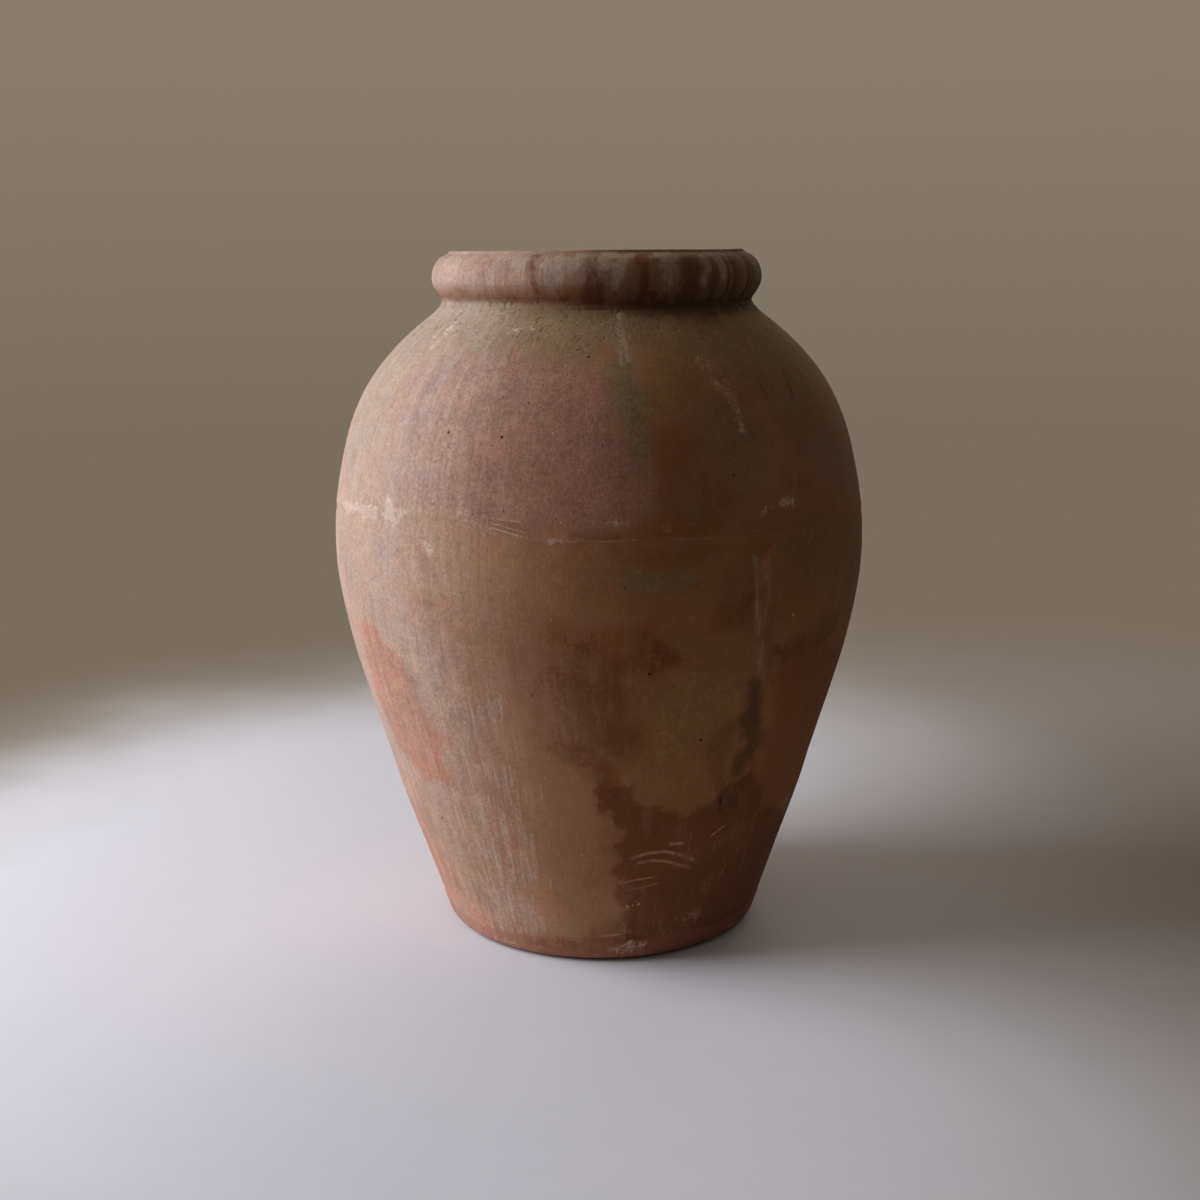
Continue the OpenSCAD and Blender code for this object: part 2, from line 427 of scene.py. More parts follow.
# %% Turn a section into a piece
def turned(name, stretches, columns, shape, closed=True):
    """Makes the mesh. shape(places, depth) says how far points move outward and upward, in mm."""
    rows, row_depth, kinds, shares, borders = lay_section(stretches, closed)
    angle = np.tile(-math.pi + 2 * math.pi * np.arange(columns) / columns, len(rows))
    places = Places(angle, np.repeat(rows[:, 0], columns), np.repeat(rows[:, 1], columns))
    outward, upward = shape(places, np.repeat(row_depth, columns))
    radius = places.radius + outward * MM * step(places.radius, 0, 0.08)
    points = np.stack([radius * places.round_x, radius * places.round_y, places.height + upward * MM], 1)

    strip, column = np.divmod(np.arange(len(kinds) * columns), columns)
    above, beside = (strip + 1) % len(rows), (column + 1) % columns
    faces = np.stack([strip * columns + column, strip * columns + beside,
                      above * columns + beside, above * columns + column], 1)
    mesh = bpy.data.meshes.new(name)
    mesh.vertices.add(len(points))
    mesh.vertices.foreach_set("co", points.ravel())
    mesh.loops.add(faces.size)
    mesh.loops.foreach_set("vertex_index", faces.ravel())
    mesh.polygons.add(len(faces))
    mesh.polygons.foreach_set("loop_start", np.arange(0, faces.size, 4))
    mesh.polygons.foreach_set("loop_total", np.full(len(faces), 4))
    mesh.polygons.foreach_set("material_index", np.repeat([int(kind != "outer") for kind in kinds], columns))
    mesh.polygons.foreach_set("use_smooth", np.ones(len(faces), bool))
    mesh.update(calc_edges=True)
    mesh.uv_layers.new(name="OFBake").uv.foreach_set("vector", flat_map(kinds, shares, columns).ravel())

    ends = np.zeros(len(mesh.edges) * 2, int)
    mesh.edges.foreach_get("vertices", ends)
    low, high = ends.reshape(-1, 2).T // columns
    mesh.edges.foreach_set("use_edge_sharp", (low == high) & np.isin(low, borders))
    piece = bpy.data.objects.new(name, mesh)
    bpy.context.scene.collection.objects.link(piece)
    outer = np.repeat([kinds[i % len(kinds)] == "outer" or kinds[i - 1] == "outer" for i in range(len(rows))], columns)
    print(name, len(faces), "faces,", int(outer.sum()), "points on its outer face")
    return piece, places, outer


# %% [markdown]
# ## The inner outline and the luted seats
# The potter keeps the wall one finger thick, so the inner outline is the outer one moved in by
# 20 mm, square to the wall. Where two pieces meet, the lower one's edge is scored and slipped.
# The CAD shows that as a V-shaped key in a groove, and both pieces ask one function for it.

# %% Draw the inner outline and a seat
wall_line = np.concatenate([lower_curve, upper_curve[1:]])
heading = np.gradient(wall_line, axis=0)
heading /= np.linalg.norm(heading, axis=1)[:, None]
inner_line = wall_line - wall_thickness * np.stack([heading[:, 1], -heading[:, 0]], 1)
inner_foot = inner_line[0] + (slab_top - inner_line[0][1]) / foot_direction[1] * foot_direction
inner_neck = inner_line[-1] + (neck_height - inner_line[-1][1]) / neck_direction[1] * neck_direction
inner_line = np.concatenate([[inner_foot], inner_line, [inner_neck]])
inner_line[:, 0] = np.maximum(inner_line[:, 0], mouth_radius)


def between(line, low, high):
    """The part of an upward line between two heights."""
    at = lambda height: np.array([np.interp(height, line[:, 1], line[:, 0]), height])
    kept = line[(line[:, 1] > low + 1e-6) & (line[:, 1] < high - 1e-6)]
    return np.concatenate([[at(low)], kept, [at(high)]])


def seat(outer_edge, inner_edge, height, key_radius):
    """A seat from its outer to its inner edge, with the key's groove."""
    return np.array([(outer_edge, height), (key_radius + key_width / 2, height), (key_radius, height - key_depth),
                     (key_radius - key_width / 2, height), (inner_edge, height)])


def wall_shape(p, depth):
    return outer_shape(p) * (1 - depth) + inner_shape(p) * depth, np.zeros(len(depth))


seam_outer = between(wall_line, slab_top, seam_height)[-1][0]
seam_inner = between(inner_line, slab_top, seam_height)[-1][0]
seam_seat = seat(seam_outer, seam_inner, seam_height, (seam_outer + seam_inner) / 2)
foot_seat = np.array([(inner_foot[0], slab_top), (foot_radius, slab_top)])
print("at the seam the wall runs from", round(seam_inner, 4), "to", round(seam_outer, 4))

# %% [markdown]
# ## The lower wall
# The lower half is a wide cone, thrown upside down or coiled on the floor slab.
# Rings 3.3 mm apart hold the dents and the seam's ridge. The inner face needs fewer.

# %% Turn the lower wall
wall_columns = 540
outer_step = 3.3 * MM
inner_step = 6 * MM

lower_wall, lower_places, lower_outer = turned("lower_wall", [
    (respaced(between(wall_line, slab_top, seam_height), outer_step), "outer", (0, 0)),
    (seam_seat, "seat", (0, 1)),
    (respaced(between(inner_line, slab_top, seam_height)[::-1], 1.6 * inner_step), "inner", (1, 1)),
    (foot_seat, "seat", (1, 0)),
], wall_columns, wall_shape)

# %% [markdown]
# ## The upper wall
# The upper half was made separately, then set on the lower one and beaten against it.
# It closes in fast towards the neck, so it needs as many columns as the lower wall
# but fewer rings.

# %% Turn the upper wall
neck_key = mouth_radius + (neck_radius - mouth_radius) / 2
neck_seat = seat(neck_radius, mouth_radius, neck_height, neck_key)

upper_wall, upper_places, upper_outer = turned("upper_wall", [
    (respaced(between(wall_line, seam_height, neck_height), 2.6 * MM), "outer", (0, 0)),
    (neck_seat, "seat", (0, 1)),
    (respaced(between(inner_line, seam_height, neck_height)[::-1], inner_step), "inner", (1, 1)),
    (seam_seat[::-1], "seat", (1, 0)),
], wall_columns, wall_shape)

# %% [markdown]
# ## The rolled rim
# The rim is a fat coil, thrown on the neck's edge and rolled outward so that a rope or
# a cloth tied over the mouth can't slip off. Its top is worn flat and a little uneven, its inner
# lip is rounded, and a thin ledge is left where the potter's thumb trued the top.
# The top sinks in places but never rises, because the jar's height is fixed.

# %% Turn the rim
rim_lip = [(mouth_radius + lip_rounding - lip_rounding * math.sin(a), jar_height - lip_rounding + lip_rounding * math.cos(a))
           for a in np.linspace(0, math.pi / 2, 16)]
rim_outside = respaced(rim_line, 1.15 * MM)
rim_top = respaced(np.array([rim_line[-1], rim_lip[0]]), 1.2 * MM)
rim_bore = respaced(np.array([rim_lip[-1], (mouth_radius, neck_height)]), 3 * MM)


def rim_shape(p, depth):
    top = step(p.height, jar_height - 0.004, jar_height)
    wear = 0.35 + 0.35 * lumps(p.points, 0.05, 91, 3) + 0.1 * lumps(p.points, 0.012, 95, 2)
    outside = step(p.radius, mouth_radius + 0.014, neck_radius - 0.004)
    swell = slow_shape(p) + 0.22 * lumps(p.points, 0.035, 97, 3) * outside
    finger = 0.12 * lumps(p.wrap * [1, 1, 26], 0.1, 99, 2) * outside
    low = step(p.height, neck_height + 0.012, neck_height) * step(p.radius, mouth_radius + 0.02, neck_radius - 0.004)
    across = (swell + finger) * (1 - 0.3 * top) * (1 - low) + outer_shape(p) * low
    return across, -top * np.clip(wear, 0, 0.9)


rim_roll, rim_places, rim_outer = turned("rim_roll", [
    (rim_outside, "outer", (0, 0)),
    (rim_top, "outer", (0, 0.5)),
    (respaced(np.array(rim_lip), 1.2 * MM), "outer", (0.5, 1)),
    (rim_bore, "inner", (1, 1)),
    (neck_seat[::-1], "seat", (1, 0)),
], 720, rim_shape)

# %% [markdown]
# ## The floor slab
# The jar stands on a beaten disc. Its edge follows the wall's lean, turns under with a soft
# rounding where it was lifted off the bat, and shows as a redder band.
# Inside, the fingertips left a low spiral on the floor.

# %% Turn the floor slab
def slab_shape(p, depth):
    floor = (p.height > slab_top - 1e-6) & (p.radius < inner_foot[0] - 0.004)
    spiral = 0.35 * np.cos(p.angle + 2 * math.pi * p.radius / (16 * MM)) * step(p.radius, 0.13, 0.1) * step(p.radius, 0.006, 0.02)
    chips = -0.5 * step(lumps(p.points, 0.02, 101, 3), 0.45, 0.8) * step(p.height, 0.010, 0.004) * (p.height < 0.02)
    band = outer_shape(p) + chips
    return band * (1 - depth) + slow_shape(p) * depth, (spiral - 0.3) * floor


foot_slab, slab_places, slab_outer = turned("foot_slab", [
    (respaced(np.array([(0, 0), foot_curve[0]]), 18 * MM), "seat", (0, 0)),
    (respaced(np.concatenate([foot_curve, [foot_point]]), 1.7 * MM), "outer", (0, 0)),
    (foot_seat[::-1], "seat", (0, 1)),
    (respaced(np.array([inner_foot, (0, slab_top)]), 5 * MM), "inner", (1, 1)),
], wall_columns, slab_shape, closed=False)

# %% [markdown]
# ## The coils inside
# Both joints are locked with soft clay pressed in by hand. In the corner of floor and wall
# lies a coil with a hollow drawn by the thumb, and over the belly joint a flat band
# pushed on in overlapping dabs. Each dab is one thumb wide, and none is quite like the next,
# so their spacing drifts. The coils' edges sink a little into the wall, as pressed clay does.

# %% Press the coils in
def dabs(p, width, seed):
    """0 between two dabs and 1 at the middle of each, with uneven spacing."""
    turn = p.angle * 0.2 / width + 0.9 * lumps(p.points, 0.1, seed, 2)
    return 1 - np.abs(np.sin(turn * math.pi)) ** 1.6


corner_reach, hollow_radius = 22 * MM, 45 * MM
coil_low = inner_foot - [corner_reach, 0]
coil_high = inner_foot + corner_reach * foot_direction
half_chord = np.linalg.norm(coil_high - coil_low) / 2
middle = (coil_high + coil_low) / 2
hollow_centre = middle + (middle - inner_foot) / np.linalg.norm(middle - inner_foot) * math.sqrt(hollow_radius ** 2 - half_chord ** 2)
sweep = [math.atan2(*(end - hollow_centre)[::-1]) for end in (coil_high, coil_low)]
hollow = [hollow_centre + hollow_radius * np.array([math.cos(a), math.sin(a)]) for a in np.linspace(*sweep, 22)]
sunk = 1.2 * MM


def corner_shape(p, depth):
    face = depth * np.sin(np.pi * np.clip((p.height - slab_top) / (coil_high[1] - slab_top), 0, 1))
    press = 1.1 * dabs(p, 19 * MM, 111) * face + 0.4 * lumps(p.points, 0.02, 115, 3) * face
    return slow_shape(p) * step(p.height, 0.03, 0.05) + 0.7 * press, -0.7 * press


corner_coil, corner_places, _ = turned("corner_coil", [
    (np.array([coil_low - [0, sunk], (inner_foot[0] + sunk, slab_top - sunk), coil_high + [sunk, 0]]), "seat", (0, 0)),
    (np.array([coil_high + [sunk, 0], hollow[0]]), "seat", (0, 1)),
    (np.array(hollow), "inner", (1, 1)),
    (np.array([coil_low, coil_low - [0, sunk]]), "seat", (1, 0)),
], 480, corner_shape)

band_tall, band_thick = 46 * MM, 7 * MM
crown_radius = ((band_tall / 2) ** 2 + band_thick ** 2) / (2 * band_thick)
crown_centre = np.array([seam_inner - band_thick + crown_radius, seam_height])
crown = [crown_centre - crown_radius * np.array([math.cos(a), -math.sin(a)]) for a in np.linspace(0.66, -0.66, 30)]


def belly_shape(p, depth):
    off = (p.height - seam_height) / (band_tall / 2)
    face = depth * step(np.abs(off), 1.1, 0.3)
    press = 2.3 * dabs(p, 17 * MM, 121) * face + 0.5 * lumps(p.points, 0.02, 125, 3) * face
    wave = 2.0 * lumps(p.points, 0.05, 127, 2) + 1.2 * (dabs(p, 17 * MM, 121) - 0.5)
    return slow_shape(p) + press, wave * off * depth


belly_band, band_places, _ = turned("belly_band", [
    (np.array([crown[-1], crown[-1] + [4 * MM, 0], crown[0] + [4 * MM, 0], crown[0]]), "seat", (0, 0)),
    (np.array(crown), "inner", (1, 1)),
], 480, belly_shape)

# %% [markdown]
# ## Stains as masks
# The jar has stood outdoors for years. Rain, algae, lime and oil left stains, and each has
# its place. Painting a picture would fix their detail for good, so the lesson writes soft masks
# onto the points of the mesh instead, and the material breaks up their edges with its own noise.
# An area is a stain with an outline, a patch is an uneven round spot, and a run follows a line.
# Where a stain was never seen, on the back, soft noise of the same kind places it.

# %% Areas, patches and runs
class Rough:
    """Noise for ragged edges, made once for a piece and shared by its stains."""

    def __init__(self, p):
        self.coarse = lumps(p.wrap, 0.045, 201, 4, 0.6)
        self.fine = lumps(p.wrap, 0.016, 211, 3, 0.65)
        self.tall = lumps(p.wrap * [1, 1, 0.12], 0.012, 221, 3, 0.6)


def some(places, chosen):
    return Places(places.angle[chosen], places.radius[chosen], places.height[chosen])


def from_path(p, path):
    """Distance, signed side distance and overrun past the ends of a line of (degrees, height)."""
    nearest = np.full(len(p.angle), 1e9)
    side, overrun = nearest.copy(), nearest.copy()
    for (deg_a, height_a), (deg_b, height_b) in zip(path[:-1], path[1:]):
        x, y = p.offset(deg_a, height_a)
        end_x = math.radians(deg_b - deg_a) * p.radius / MM
        end_y = (run_at(height_b * MM) - run_at(height_a * MM)) / MM
        long = np.hypot(end_x, end_y)
        share = (x * end_x + y * end_y) / long ** 2
        held = np.clip(share, 0, 1)
        gap = np.hypot(x - held * end_x, y - held * end_y)
        close = gap < nearest
        nearest[close] = gap[close]
        side[close] = ((x * end_y - y * end_x) / long)[close]
        overrun[close] = (np.abs(share - held) * long)[close]
    return nearest, side, overrun


def areas(p, rough, marks):
    """Each mark is (outline in degrees and height, softness in mm, strength)."""
    total = np.zeros(len(p.angle))
    degrees, height = np.degrees(p.angle), p.height / MM
    for outline, soft, strength in marks:
        aside, up = np.array(outline, float).T
        near = ((degrees > aside.min() - 14) & (degrees < aside.max() + 14)
                & (height > up.min() - 60) & (height < up.max() + 60))
        if not near.any():
            continue
        inside = np.zeros(int(near.sum()), bool)
        x, y = degrees[near], height[near]
        for (ax, ay), (bx, by) in zip(outline, outline[1:] + outline[:1]):
            if ay != by:
                inside ^= ((ay > y) != (by > y)) & (x < ax + (y - ay) / (by - ay) * (bx - ax))
        gap = from_path(some(p, near), outline + outline[:1])[0]
        reach = np.where(inside, gap, -gap) + (5 + 0.6 * soft) * rough.coarse[near] + 6 * rough.fine[near]
        total[near] = np.maximum(total[near], strength * step(reach, -soft, soft))
    return total


def patches(p, rough, marks, ragged=0.4):
    """Each mark is (degrees, height, half width, half height, strength), sizes in mm."""
    total = np.zeros(len(p.angle))
    edge = ragged * rough.coarse + 0.5 * ragged * rough.fine
    for degrees, height, wide, tall, strength in marks:
        across, up = p.offset(degrees, height)
        total = np.maximum(total, strength * step(np.hypot(across / wide, up / tall) + edge, 1.45, 0.35))
    return total


def runs(p, rough, marks, ragged=0.45):
    """Each mark is (path, half width in mm, strength)."""
    total = np.zeros(len(p.angle))
    edge = ragged * (0.6 * rough.coarse + 0.6 * rough.fine)
    for path, wide, strength in marks:
        total = np.maximum(total, strength * step(from_path(p, path)[0] / wide + edge, 1.5, 0.2))
    return total


def unseen(p):
    """0 where the photo shows the jar and 1 round the back."""
    return step(np.abs(np.degrees(p.angle)), 82, 104)


def anywhere(p, size, seed, low, high, squeeze=(1, 1, 1)):
    """Stains of one kind placed by soft noise."""
    return step(lumps(p.wrap * squeeze, size, seed, 3), low, high)


print("a run 18 mm wide is", round(18 / 271 * 57.3, 1), "degrees wide at the belly")

# %% [markdown]
# ## Where the stains are
# These tables are read off the photo, in degrees and in mm of height.
# Names say what each stain is: mauve is a pink bloom with black specks, olive a grey-green
# deposit, ochre a golden one, sienna and brick are cleaner clay, salmon a paler pink clay,
# umber a dark run, lime a pale grey-green run, chalk a white crust and drip old dark oil.

# %% Tables of stains
AREAS = {
    "mauve": [
        ([(-46, 600), (-30, 606), (-8, 604), (0, 598), (3, 575), (4, 550), (9, 525), (10, 505), (9, 485), (6, 466),
          (2, 456), (-10, 452), (-20, 453), (-32, 463), (-40, 470), (-44, 490), (-44, 520), (-48, 550), (-52, 580)], 14, .95),
        ([(51, 530), (60, 525), (62, 500), (58, 482), (52, 480), (49, 500)], 14, .6)],
    "olive": [
        ([(3, 604), (10, 604), (11, 570), (9, 548), (10.5, 522), (8, 510), (6, 520), (5, 548), (2.5, 575)], 8, .85),
        ([(-80, 640), (-46, 640), (-50, 600), (-54, 560), (-52, 520), (-60, 490), (-80, 500)], 22, .75),
        ([(16, 640), (84, 640), (84, 455), (62, 462), (44, 545), (24, 590)], 24, .5),
        ([(22, 590), (30, 562), (38, 548), (37, 500), (31, 480), (25, 500), (22, 540)], 14, .5),
        ([(4, 420), (18, 419), (21, 402), (10, 397), (4, 401)], 6, .65),
        ([(44, 452), (70, 445), (85, 410), (85, 335), (68, 345), (58, 375), (45, 395), (39, 430)], 16, .5),
        ([(17, 476), (20, 475), (20, 464), (17.5, 463)], 4, .6), ([(17, 206), (22, 208), (22, 190), (18, 188)], 8, .45)],
    "ochre": [
        ([(9, 640), (80, 640), (80, 572), (60, 582), (45, 598), (30, 596), (22, 562), (13, 560)], 12, .8),
        ([(11, 305), (16, 321), (24, 327), (30, 312), (31, 280), (29, 258), (22, 245), (16, 229), (20, 206), (22, 192),
          (15, 190), (13, 215), (11, 240), (12, 270)], 8, .85),
        ([(-24, 235), (-9, 245), (-7, 226), (0, 216), (-3, 190), (-1, 152), (2, 130), (0, 92), (4, 60), (0, 38),
          (-14, 38), (-17, 100), (-21, 150)], 14, .65),
        ([(-10, 305), (-1, 302), (-2, 262), (-9, 256)], 9, .45), ([(-30, 445), (2, 440), (0, 385), (-26, 378)], 18, .35)],
    "sienna": [
        ([(10, 541), (22, 541), (23, 520), (20, 506), (26, 501), (28, 480), (25, 460), (24, 448), (8, 446), (3, 452),
          (5, 463), (9, 478), (11, 498), (9, 515)], 17, .66),
        ([(1, 443), (24, 445), (28, 432), (20, 418), (9, 417), (4, 428)], 8, .55),
        ([(-8, 455), (3, 460), (5, 450), (0, 446), (-10, 447)], 5, .6), ([(21, 385), (30, 392), (30, 360), (26, 351), (21, 360)], 8, .5),
        ([(-9, 366), (10, 366), (12, 346), (12, 325), (0, 316), (-6, 332)], 17, .65),
        ([(-8, 332), (5, 322), (9, 300), (11, 250), (4, 230), (-2, 225), (-6, 250), (-8, 292)], 20, .55),
        ([(40, 332), (50, 326), (62, 322), (78, 306), (92, 262), (86, 214), (70, 160), (50, 140), (40, 150), (39, 200), (41, 260)], 14, .85),
        ([(44, 552), (54, 556), (68, 540), (66, 500), (50, 474), (42, 484), (46, 512)], 22, .5),
        ([(-1, 236), (5, 226), (7, 200), (7, 165), (2, 165), (-1, 190)], 7, .9), ([(-14, 560), (-8, 562), (-7, 480), (-13, 478)], 10, .35),
        ([(-17, 146), (-14, 146), (-14, 110), (-17, 112)], 5, .4)],
    "brick": [
        ([(-3, 200), (2, 215), (9, 214), (11, 190), (14, 181), (21, 171), (28, 186), (31, 200), (40, 203), (47, 190), (51, 152),
          (60, 140), (76, 133), (88, 150), (99, 118), (94, 70), (106, 30), (108, -5), (15, -5), (15, 12), (9, 20), (13, 36), (8, 50), (11, 66), (5, 80), (8, 97), (3, 108), (6, 124), (0, 138), (5, 152), (-2, 176)], 9, .85),
        ([(10, 351), (16, 347), (18.5, 331), (12, 321)], 11, .6), ([(-6, 352), (-1, 356), (1, 346), (-4, 344)], 9, .5)],
    "salmon": [
        ([(31, 428), (36, 430), (36.5, 385), (35, 348), (31.5, 346), (31, 385)], 5, .55),
        ([(-66, 345), (-54, 353), (-52, 331), (-47, 318), (-43, 300), (-43, 272), (-40, 262), (-38, 240), (-41, 214),
          (-40, 190), (-48, 180), (-54, 196), (-62, 215), (-67, 260), (-65, 300)], 9, .9),
        ([(-88, 160), (-62, 130), (-52, 62), (-47, 26), (-70, 20), (-90, 30)], 24, .6), ([(-42, 400), (-30, 396), (-26, 346), (-36, 338)], 14, .35)],
    "umber": [
        ([(32.5, 302), (36, 303), (38, 270), (40.5, 262), (40.5, 240), (38.5, 215), (39, 190), (38, 162), (34.5, 168),
          (32, 205), (33, 225), (34, 250), (33, 280)], 13, .95),
        ([(21, 428), (34, 430), (34, 385), (40, 348), (62, 342), (60, 328), (44, 318), (38, 296), (34, 300), (31, 345), (23, 362)], 18, .42),
        ([(26, 268), (34, 262), (33, 205), (37, 150), (29, 158), (25, 205)], 14, .45),
        ([(-19, 345), (8, 345), (8, 225), (-2, 212), (-15, 240)], 24, .4), ([(18, 112), (72, 124), (72, -20), (20, -20)], 26, .45), ([(-26, 40), (22, 46), (22, -20), (-26, -20)], 16, .4),
        ([(-29, 464), (-20, 462), (-8, 456), (4, 453), (4, 447), (-12, 448), (-19, 452), (-25, 461)], 4, .35),
        ([(37, 342), (40.5, 340), (41.5, 325), (38, 321)], 4, .65), ([(29.3, 428), (31, 428), (31.2, 374), (29.5, 372)], 3, .6),
        ([(45.5, 340), (48.5, 338), (48, 324), (46, 326)], 4, .4)],
    "lime": [
        ([(-38, 312), (-30, 302), (-22, 292), (-24, 270), (-30, 262), (-37, 266)], 9, .55),
        ([(-46, 350), (-40, 350), (-36, 318), (-33, 285), (-35, 262), (-39, 262), (-42, 300), (-47, 322), (-52, 338)], 7, .6),
        ([(-36, 242), (-19, 216), (-22, 200), (-33, 206)], 8, .45),
        ([(-39, 62), (-35, 80), (-30, 66), (-22, 82), (-19, 60), (-18, 27), (-37, 26), (-40, 44)], 8, .5),
        ([(-66, 470), (-40, 474), (-38, 440), (-60, 430)], 14, .45), ([(-42, 190), (-17, 190), (-16, 90), (-40, 80)], 14, .36),
        ([(5, 642), (9, 642), (9, 600), (5.5, 598)], 7, .6)],
    "chalk": [
        ([(-61, 466), (-57, 463), (-55, 468), (-50, 461), (-52, 453), (-62, 452)], 3, .85),
        ([(-48, 476), (-44, 470), (-41, 463), (-43, 452), (-49, 456)], 3, .9), ([(-70, 458), (-65, 462), (-62, 455), (-66, 450)], 3, .75),
        ([(-38, 446), (-36, 443), (-33, 431), (-35, 430), (-37, 437)], 2, .7), ([(4, 17), (14, 18), (14, 9), (5, 9)], 5, .5)],
}
PATCHES = {
    "sienna": [(-36, 421, 13, 11, .6), (-35.5, 381, 12, 5, .85), (-28, 353, 12, 9, .5), (-63, 210, 20, 30, .3)],
    "brick": [(-24, 18, 70, 9, .45), (-60, 16, 80, 9, .35)],
    "chalk": [(-7, 446, 12, 2.5, .5), (2, 463, 14, 2.2, .55), (7.5, 640, 7, 4, .55), (-24, 628, 8, 3, .7), (-20, 628, 5, 3, .6),
              (28, 12, 9, 3, .4), (-35, 11, 22, 2.5, .5), (13, 456, 7, 5, .45), (-28, 345, 8, 3, .3), (47, 432, 7, 3, .35)],
}
RUNS = {
    "lime": [([(-41, 345), (-38, 305), (-33, 275), (-32, 240), (-34, 200), (-35, 160), (-34, 120), (-30, 80), (-27, 45)], 13, .55),
             ([(-53.5, 540), (-53.5, 485)], 5, .8), ([(-59.5, 400), (-59, 345)], 6, .75), ([(-54, 395), (-54, 350)], 5, .6),
             ([(35, 336), (36, 306)], 7, .45), ([(-38, 445), (-38, 400)], 8, .5), ([(31.8, 424), (32.3, 390), (33.4, 352)], 3.5, .6),
             ([(34.6, 420), (35.2, 385), (34.2, 352)], 3, .5)],
    "chalk": [([(-55, 633), (-55, 608)], 3, .5), ([(-52, 632), (-52, 610)], 3, .5), ([(-50.5, 628), (-50.5, 615)], 3, .4),
              ([(26.5, 600), (29.5, 578), (31.5, 562), (32, 540)], 6, .45), ([(29, 598), (31.5, 580)], 4, .35), ([(33, 463), (37, 469), (42, 472), (43, 460)], 4, .55)],
}
RIM_DRIPS = [([(-22, 694), (-21, 684)], 8, .75), ([(-21, 684), (-19.5, 662)], 4.5, .7), ([(-0.5, 690), (-1, 654)], 10, 1), ([(1, 688), (6, 690)], 4.5, .8),
             ([(15.5, 690), (15, 655)], 8, 1), ([(18.5, 690), (20, 690)], 3, .7), ([(32, 688), (32, 656)], 9, .85),
             ([(32.5, 666), (32.5, 656)], 12, .9), ([(40, 690), (41, 657)], 8, .85), ([(52, 689), (53.5, 658)], 9, .7),
             ([(62, 690), (62, 664)], 5, .6), ([(-11, 697), (-9, 694)], 3, .5), ([(10.5, 688), (10.5, 662)], 2, .45)]
RIM_LIME = [([(-35, 690), (-22, 694), (-23, 686), (-28, 680), (-34, 676)], 5, 1),
            ([(-19, 694), (-3, 695), (-4, 682), (-9, 676), (-12, 668), (-17, 672)], 5, .95),
            ([(3, 695), (12, 695), (11.5, 684), (10, 674), (8, 660), (4.5, 658), (3, 668), (5, 680)], 4, 1.3),
            ([(3, 697), (30, 697), (30, 688), (3, 688)], 3, 1.2), ([(19, 691), (28, 691), (28, 668), (23, 662), (19, 672)], 6, .75),
            ([(36, 692), (37.5, 692), (37.8, 664), (36.6, 664)], 2, 1), ([(44, 694), (49, 694), (48, 672), (45, 676)], 4, 1),
            ([(57, 690), (59, 690), (59, 664), (57, 664)], 3, .5), ([(-80, 696), (-36, 697), (-40, 688), (-80, 684)], 7, .55)]
print(sum(len(v) for t in (AREAS, PATCHES, RUNS) for v in t.values()), "wall stains,", len(RIM_DRIPS), "rim drips")

# %% [markdown]
# ## Thin marks
# A scratch is thinner than the gap between two points of the mesh, so a mask can't hold it.
# A distance can: how far a point lies to the side of the scratch changes evenly across a face,
# and the material draws the scratch where that distance is small. The same trick, with
# an x and a y distance, gives small round dots for pinholes, grit and lime specks.

# %% Tables of scratches and dots
# (path, half width in mm, tone), tone above 0 is pale and below 0 dark
SCRATCHES = [
    ([(8.5, 124), (13, 129), (18, 128.5), (22.5, 122), (27, 114)], 2.8, .6),
    ([(5.5, 95), (10, 98.5), (15, 99.5)], 1.4, .55), ([(31.5, 139), (35, 147)], 1.3, .7),
    ([(-2, 464.5), (5.5, 462)], 1.1, .6), ([(-31, 469), (-23, 466), (-15, 463)], 1.1, .6), ([(-27, 462.5), (-20, 456), (-13, 448)], 1.3, .8),
    ([(0.5, 32), (6, 33.5)], 1.2, .8), ([(-24, 90), (-22, 34)], 1.5, .4), ([(-28, 96), (-26.5, 40)], 1.6, .35),
    ([(-20, 70), (-19, 34)], 1.3, .35), ([(-35, 140), (-33, 60)], 1.3, .3), ([(-12, 556), (-11, 520)], 1.4, .25),
    ([(31.5, 182), (32.3, 168)], 1.8, -1), ([(50.5, 562), (52, 586)], 3.6, -.45), ([(41, 568), (41.5, 582)], 3.0, -.35),
    ([(58, 558), (59, 572)], 3.4, -.4), ([(-30, 464), (-25, 458.5), (-20, 451)], 1.2, .7), ([(45, 575), (44.5, 570)], 2.6, -.35),
    ([(-71, 610), (-66, 590)], 1.6, .35), ([(18, 612), (20, 600)], 1.2, .35), ([(-9, 652), (-4, 651)], 1.4, -.5),
]
# These lie too close to those above to share their distances
MORE_SCRATCHES = [
    ([(10, 118), (14, 119.5), (18, 117.5), (22, 111.5), (26, 105.5)], 2.8, .5), ([(19, 137), (22.5, 135.5)], 3.0, .6),
    ([(7, 87), (12, 88.5), (16.5, 92)], 1.3, .5), ([(-4, 449), (0, 446.5), (7, 447.5)], 1.1, .5), ([(-26, 465.5), (-19, 459), (-14, 453.5)], 1.1, .6),
    ([(-8, 447), (-3, 446)], 1.2, .5), ([(14, 447), (22, 446)], 1.1, .4), ([(28, 448), (34, 449)], 1.1, .4), ([(33, 186), (34, 172)], 1.4, -.4),
    ([(53, 590), (54, 575)], 3.4, -.35), ([(-29, 459), (-25, 455), (-22, 450)], 1.1, .6), ([(60, 584), (61, 572)], 3.2, -.3),
]
